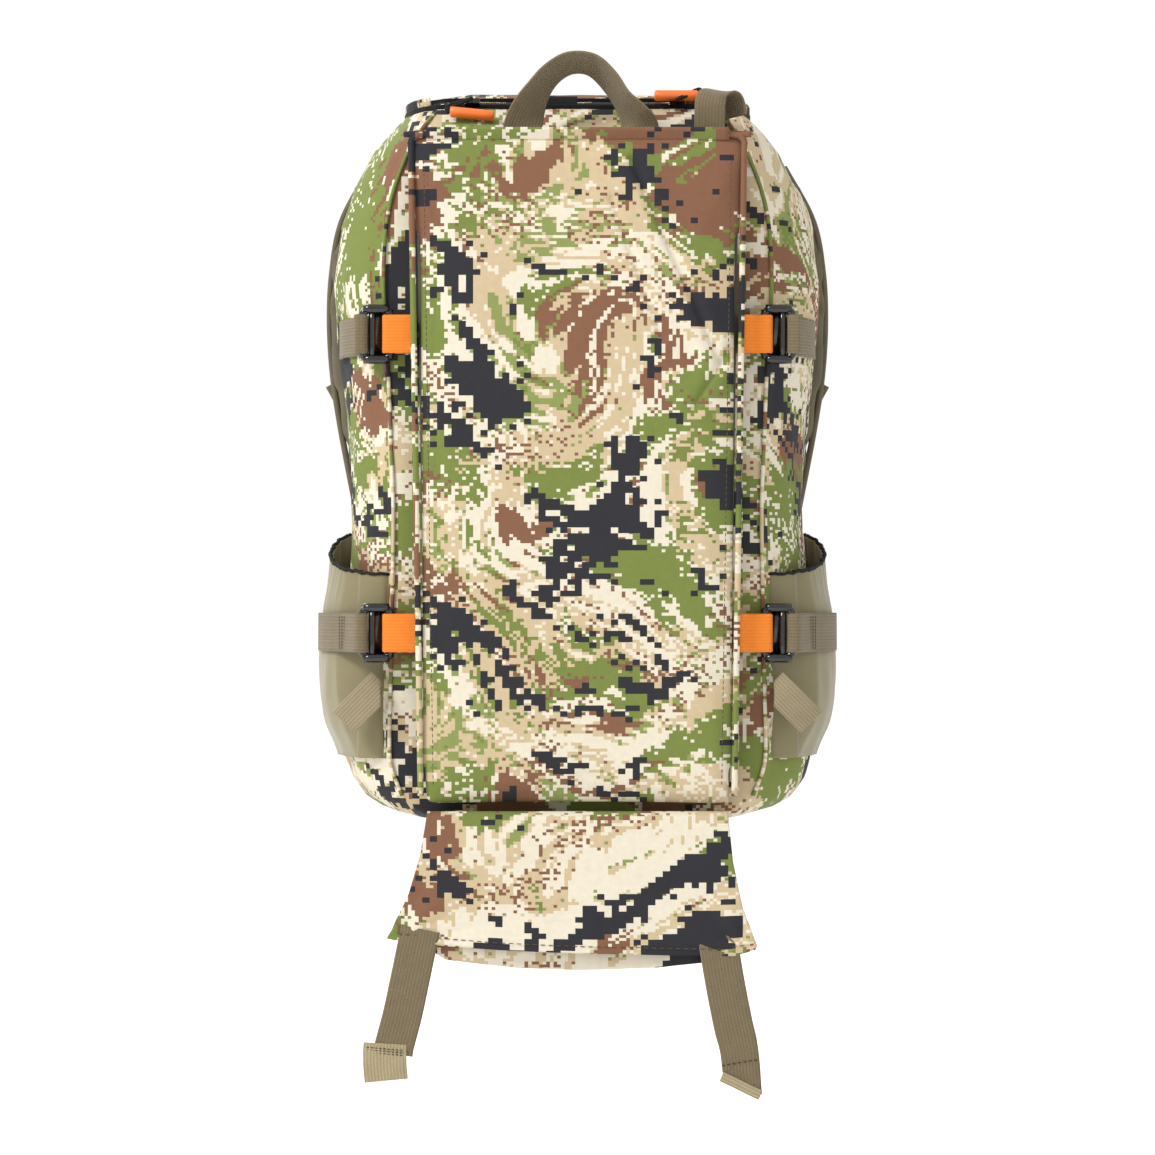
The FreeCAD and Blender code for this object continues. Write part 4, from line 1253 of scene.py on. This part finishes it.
low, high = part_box("lumbar_pad")
zs = np.linspace(low.z + gap, high.z - gap, 8)
half = [float(np.interp(z, [low.z, high.z], [high.x, high.x - 10 * MM])) - gap for z in zs]
lumbar = block("lumbar_pad_spacer", [-h for h in half], half, zs, low.y + 0.6 * MM, high.y - gap - 2 * MM)
pad("lumbar", lumbar, SPACER, "bag", "harness_fabric", "lumbar_pad", [low.z + (high.z - low.z) * 0.5],
    5 * MM)

low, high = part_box("shoulder_yoke")
zs = np.linspace(low.z + gap, high.z - gap, 8)
half = [float(np.interp(z, [low.z, high.z], [0.070, 0.088])) - gap for z in zs]
yoke = block("shoulder_yoke_cloth", [-h for h in half], half, zs, low.y + 0.4 * MM, high.y - gap)
pad("yoke", yoke, HARNESS, "bag", "harness_fabric", "shoulder_yoke", (), 3 * MM)

BACK_PANEL_Y = BAG_BACK + 0.3 * MM
back_seam = [(x, BACK_PANEL_Y + 0.6 * MM, z) for x, z in (
    (-0.1285, -0.480), (-0.1265, -0.30), (-0.130, -0.14), (-0.118, -0.07), (-0.09, -0.052), (0.0, -0.0495),
    (0.09, -0.052),
    (0.118, -0.07), (0.130, -0.14), (0.1265, -0.30), (0.1285, -0.480))]
finished(tube("back_panel_piping", back_seam, 1.5 * MM, count=220), BLACK_CLOTH, "bag", "camo_fabric")

# Each shoulder strap is a padded S, drawn from its own box: outline across, and bow away from the back.
STRAP_Z = [-0.046, -0.062, -0.085, -0.12, -0.16, -0.20, -0.25, -0.30, -0.345]
STRAP_IN = [0.096, 0.0935, 0.097, 0.106, 0.113, 0.114, 0.108, 0.1015, 0.098]
STRAP_OUT = [0.128, 0.151, 0.164, 0.1735, 0.1765, 0.1745, 0.167, 0.156, 0.148]


def strap_near(z):
    return float(np.interp(z, [-0.36, -0.30, -0.25, -0.20, -0.15, -0.10, -0.064, -0.03],
                           [0.208, 0.2235, 0.2335, 0.2365, 0.2315, 0.2165, 0.195, 0.1875]))


def strap_far(z):
    return float(np.interp(z, [-0.36, -0.30, -0.25, -0.20, -0.15, -0.10, -0.06, -0.03],
                           [0.222, 0.2385, 0.2482, 0.2500, 0.2445, 0.2295, 0.210, 0.200]))


for name, side in SIDES.items():
    body = f"shoulder_strap_{name}"
    rows = 26
    zs = np.linspace(STRAP_Z[0], STRAP_Z[-1], rows)
    inner = [side * (float(np.interp(-z, [-v for v in STRAP_Z], STRAP_IN)) + gap) for z in zs]
    outer = [side * (float(np.interp(-z, [-v for v in STRAP_Z], STRAP_OUT)) - gap) for z in zs]
    piece = block(f"shoulder_strap_{name}_pad", inner, outer, zs, [strap_near(z) + gap for z in zs],
                  [strap_far(z) - gap for z in zs])
    pad(name, piece, HARNESS, body, "harness_fabric", f"shoulder_strap_{name}", (), 4 * MM)
    for edge, widths, shift in (("inner", inner, -2.0 * MM), ("outer", outer, 2.0 * MM)):
        line = [(x + side * shift, (strap_near(z) + strap_far(z)) / 2, z) for x,
                z in zip(widths, zs)][1:-1:3]
        finished(tube(f"shoulder_strap_{name}_{edge}_binding", line, 2.3 * MM, count=110), HARNESS, body,
                 "harness_fabric")
    centre_x = [side * (float(np.interp(-z, [-v for v in STRAP_Z], STRAP_IN))
                        + float(np.interp(-z, [-v for v in STRAP_Z], STRAP_OUT))) / 2
                for z in zs]
    daisy = [(x, strap_far(z) + 0.6 * MM, z) for x, z in zip(centre_x, zs)][3::3]
    finished(webbing(f"shoulder_strap_{name}_daisy", daisy, (1, 0, 0), NARROW, 1.5 * MM, count=90), TAUPE,
             body, "harness_fabric")
    # Root tab: the strap's cloth runs on over the yoke.
    tab = [(side * 0.098, 0.1905, -0.098), (side * 0.102, 0.1925, -0.078), (side * 0.106, 0.1945, -0.062),
           (side * 0.112, 0.1945, -0.048)]
    finished(webbing(f"shoulder_strap_{name}_root", tab, (1, 0, 0), 38 * MM, 3.0 * MM, count=30), HARNESS,
             "bag", "harness_fabric")
    # Load lifter, from the top of the bag to the strap.
    lifter = [(side * 0.104, 0.183, -0.050), (side * 0.110, 0.188, -0.044), (side * 0.119, 0.2035, -0.0475),
              (side * 0.1265, 0.2150, -0.0640),
              (side * 0.131, 0.2275, -0.0900)]
    bending(webbing(f"load_lifter_{name}", lifter, (1, 0, 0), NARROW, 1.5 * MM, count=50), TAUPE,
            ("bag", body),
            (side * 0.11, 0.188, -0.042), (side * 0.128, 0.218, -0.068), "taupe_webbing")
    # Ladder lock, lower webbing and its tail.
    low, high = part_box(f"ladder_lock_{name}")
    centre, size = (low + high) / 2, high - low
    ring = [(centre.x + x, centre.y, centre.z + z) for x,
            z in rounded_loop(size.x - 5 * MM, size.z - 5 * MM, 4 * MM)]
    parts = [tube("ring", ring, 2.5 * MM, sides=12, closed=True)]
    for offset in (-0.28, 0.02, 0.30):
        parts.append(tube("bar", [(centre.x + t * (size.x / 2 - 3 * MM), centre.y,
                                   centre.z + offset * size.z) for t in (-1, 0, 1)], 1.9 * MM))
    finished(join(f"ladder_lock_{name}_moulding", parts), BLACK, body, "black_plastic",
             f"ladder_lock_{name}")
    lower = [(side * 0.123, 0.2075, -0.352), (side * 0.123, 0.2055, -0.362),
             (side * 0.1255, 0.2000, -0.395), (side * 0.129, 0.1955, -0.422),
             (side * 0.133, 0.1900, -0.447)]
    bending(webbing(f"lower_webbing_{name}_strap", lower, (1, 0, 0), NARROW, 1.5 * MM, count=50), TAUPE,
            ("bag", body), (side * 0.133, 0.1905, -0.444), (side * 0.123, 0.205, -0.366), "taupe_webbing",
            f"lower_webbing_{name}")
    tip = Vector((side * 0.134, 0.1885, -0.452))
    wing = [(side * 0.1385, 0.1790, -0.462), (side * 0.137, 0.1845, -0.457), tuple(tip)]
    finished(webbing(f"lower_webbing_{name}_wing", wing, (1, 0, 0.2 * side), 26 * MM, 2.4 * MM, count=20),
             HARNESS, "bag", "harness_fabric")
    # Tail of the adjusting strap, which stands out beside the bag.
    tail_low, tail_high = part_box(f"strap_tail_{name}")
    y = (tail_low.y + tail_high.y) / 2
    tail = [(side * 0.146, y, -0.263), (side * 0.1525, y, -0.249), (side * 0.1605, y, -0.232),
            (side * 0.1675, y, -0.217), (side * 0.1735, y, -0.206)]
    finished(webbing(f"strap_tail_{name}_webbing", tail, (0.85, 0, side * 0.5), 14 * MM, 1.5 * MM,
                     count=40), TAUPE, body,
             "taupe_webbing", f"strap_tail_{name}")
    # Sternum strap half, hanging, with one half of its buckle.
    low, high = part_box(f"sternum_webbing_{name}")
    y = (low.y + high.y) / 2
    x = (low.x + high.x) / 2
    points = [(x, y + 0.4 * MM * math.sin(t * 5), low.z + (high.z - low.z) * (1 - t))
              for t in np.linspace(0, 1, 7)]
    finished(webbing(f"sternum_webbing_{name}_strap", points, (1, 0, 0), NARROW, 1.6 * MM, count=50), TAUPE,
             f"sternum_strap_{name}", "taupe_webbing", f"sternum_webbing_{name}")
    low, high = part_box(f"sternum_buckle_{name}")
    shell = slab(f"sternum_buckle_{name}_shell", low + Vector((1, 0.5, 1)) * MM,
                 high - Vector((1, 0.5, 1)) * MM, 5 * MM)
    modifier(shell, "BEVEL", width=1.8 * MM, segments=4, limit_method="ANGLE")
    apply_modifiers(shell)
    parts = [shell]
    centre, size = (low + high) / 2, high - low
    for offset in (-0.30, 0.30):
        z = centre.z
        parts.append(tube("groove", [(centre.x + offset * size.x, high.y - 0.6 * MM, z + t * size.z * 0.3)
                                     for t in (-1, 0, 1)], 1.6 * MM))
    parts.append(tube("bar", [(centre.x + t * (size.x / 2 - 3 * MM), centre.y + 1 * MM, high.z - 3 * MM)
                              for t in (-1, 0, 1)], 2.3 * MM))
    finished(join(f"sternum_buckle_{name}_moulding", parts), BLACK, f"sternum_strap_{name}",
             "black_plastic", f"sternum_buckle_{name}")

# Inside: the water sleeve, the frame sheet and its stays.
low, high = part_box("hydration_sleeve")
verts, uvs = [], []
columns, rows = 60, 50
for j in range(rows):
    z = low.z + (high.z - low.z) * j / (rows - 1)
    for i in range(columns):
        s = i / (columns - 1)
        x = low.x + (high.x - low.x) * s
        swell = (1 - abs(2 * s - 1) ** 6) ** 0.5 * min(1.0, 0.25 + j / 8)
        y = high.y - (high.y - low.y - 1.0 * MM) * swell
        y += 0.6 * MM * ripple((x, y, z), (30, 1, 16), 1.0) * swell
        verts.append((x, y, z))
        uvs.append((x, z))
sleeve = new_object("hydration_sleeve_mesh", verts, grid_faces(rows, columns), uvs)
modifier(sleeve, "SOLIDIFY", thickness=1.0 * MM, offset=-1)
apply_modifiers(sleeve)
finished(sleeve, LINING, "bag", "lining", "hydration_sleeve")
rim = [(low.x + (high.x - low.x) * s, verts[(rows - 1) * columns + int(s * (columns - 1))][1] + 0.4 * MM,
        high.z) for s in np.linspace(0, 1, 14)]
finished(tube("hydration_sleeve_binding", rim, 1.8 * MM, count=90), BLACK_CLOTH, "bag", "lining")
for node, material in (("frame_sheet", SHEET_PLASTIC), ("frame_stay_left", STAY),
                       ("frame_stay_right", STAY)):
    recolour(node, material)

# ---------------------------------------------------------------- stage, lights and camera

floor_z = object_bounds()[0].z - 0.11
ring = [(400 * math.cos(a), 400 * math.sin(a), floor_z)
        for a in np.linspace(0, 2 * math.pi, 64, endpoint=False)]
stage = new_object("stage", ring, [tuple(range(64))])
paper = Shader("paper", Roughness=0.95, Specular_IOR_Level=0.1, Emission_Color=(1, 1, 1, 1),
               Emission_Strength=0.12)
tone = paper.noise(paper.coords("Object"), 1.2, 1.0)
paper.finish(paper.mix(tone, (0.93, 0.93, 0.93, 1), (0.95, 0.95, 0.95, 1)))
stage.data.materials.append(paper.material)


def soft_light(name, place, target, power, size):
    """A square studio light, aimed."""
    lamp = bpy.data.lights.new(name, "AREA")
    lamp.energy, lamp.size = power, size
    obj = linked(name, lamp)
    obj.location = place
    obj.rotation_euler = (Vector(target) - Vector(place)).to_track_quat("-Z", "Y").to_euler()


soft_light("key", (-1.7, -1.25, 1.5), (0, 0, -0.3), 62, 0.7)
soft_light("fill", (1.9, -1.9, 0.5), (0, 0, -0.35), 4, 1.2)
soft_light("back", (-1.2, 2.2, 1.2), (0, 0.1, -0.3), 22, 1.0)
world = bpy.data.worlds.new("studio")
world.use_nodes = True
world.node_tree.nodes["Background"].inputs[0].default_value = (1, 1, 1, 1)
world.node_tree.nodes["Background"].inputs[1].default_value = 1.0
bpy.context.scene.world = world
bpy.context.scene.view_settings.view_transform = "Standard"

camera = bpy.data.cameras.new("camera")
camera.lens, camera.sensor_width = 125.6, 36
camera_object = linked("camera", camera)
camera_object.location = (0, -2.622, -0.345)
camera_object.rotation_euler = (math.pi / 2, 0, 0)
bpy.context.scene.camera = camera_object
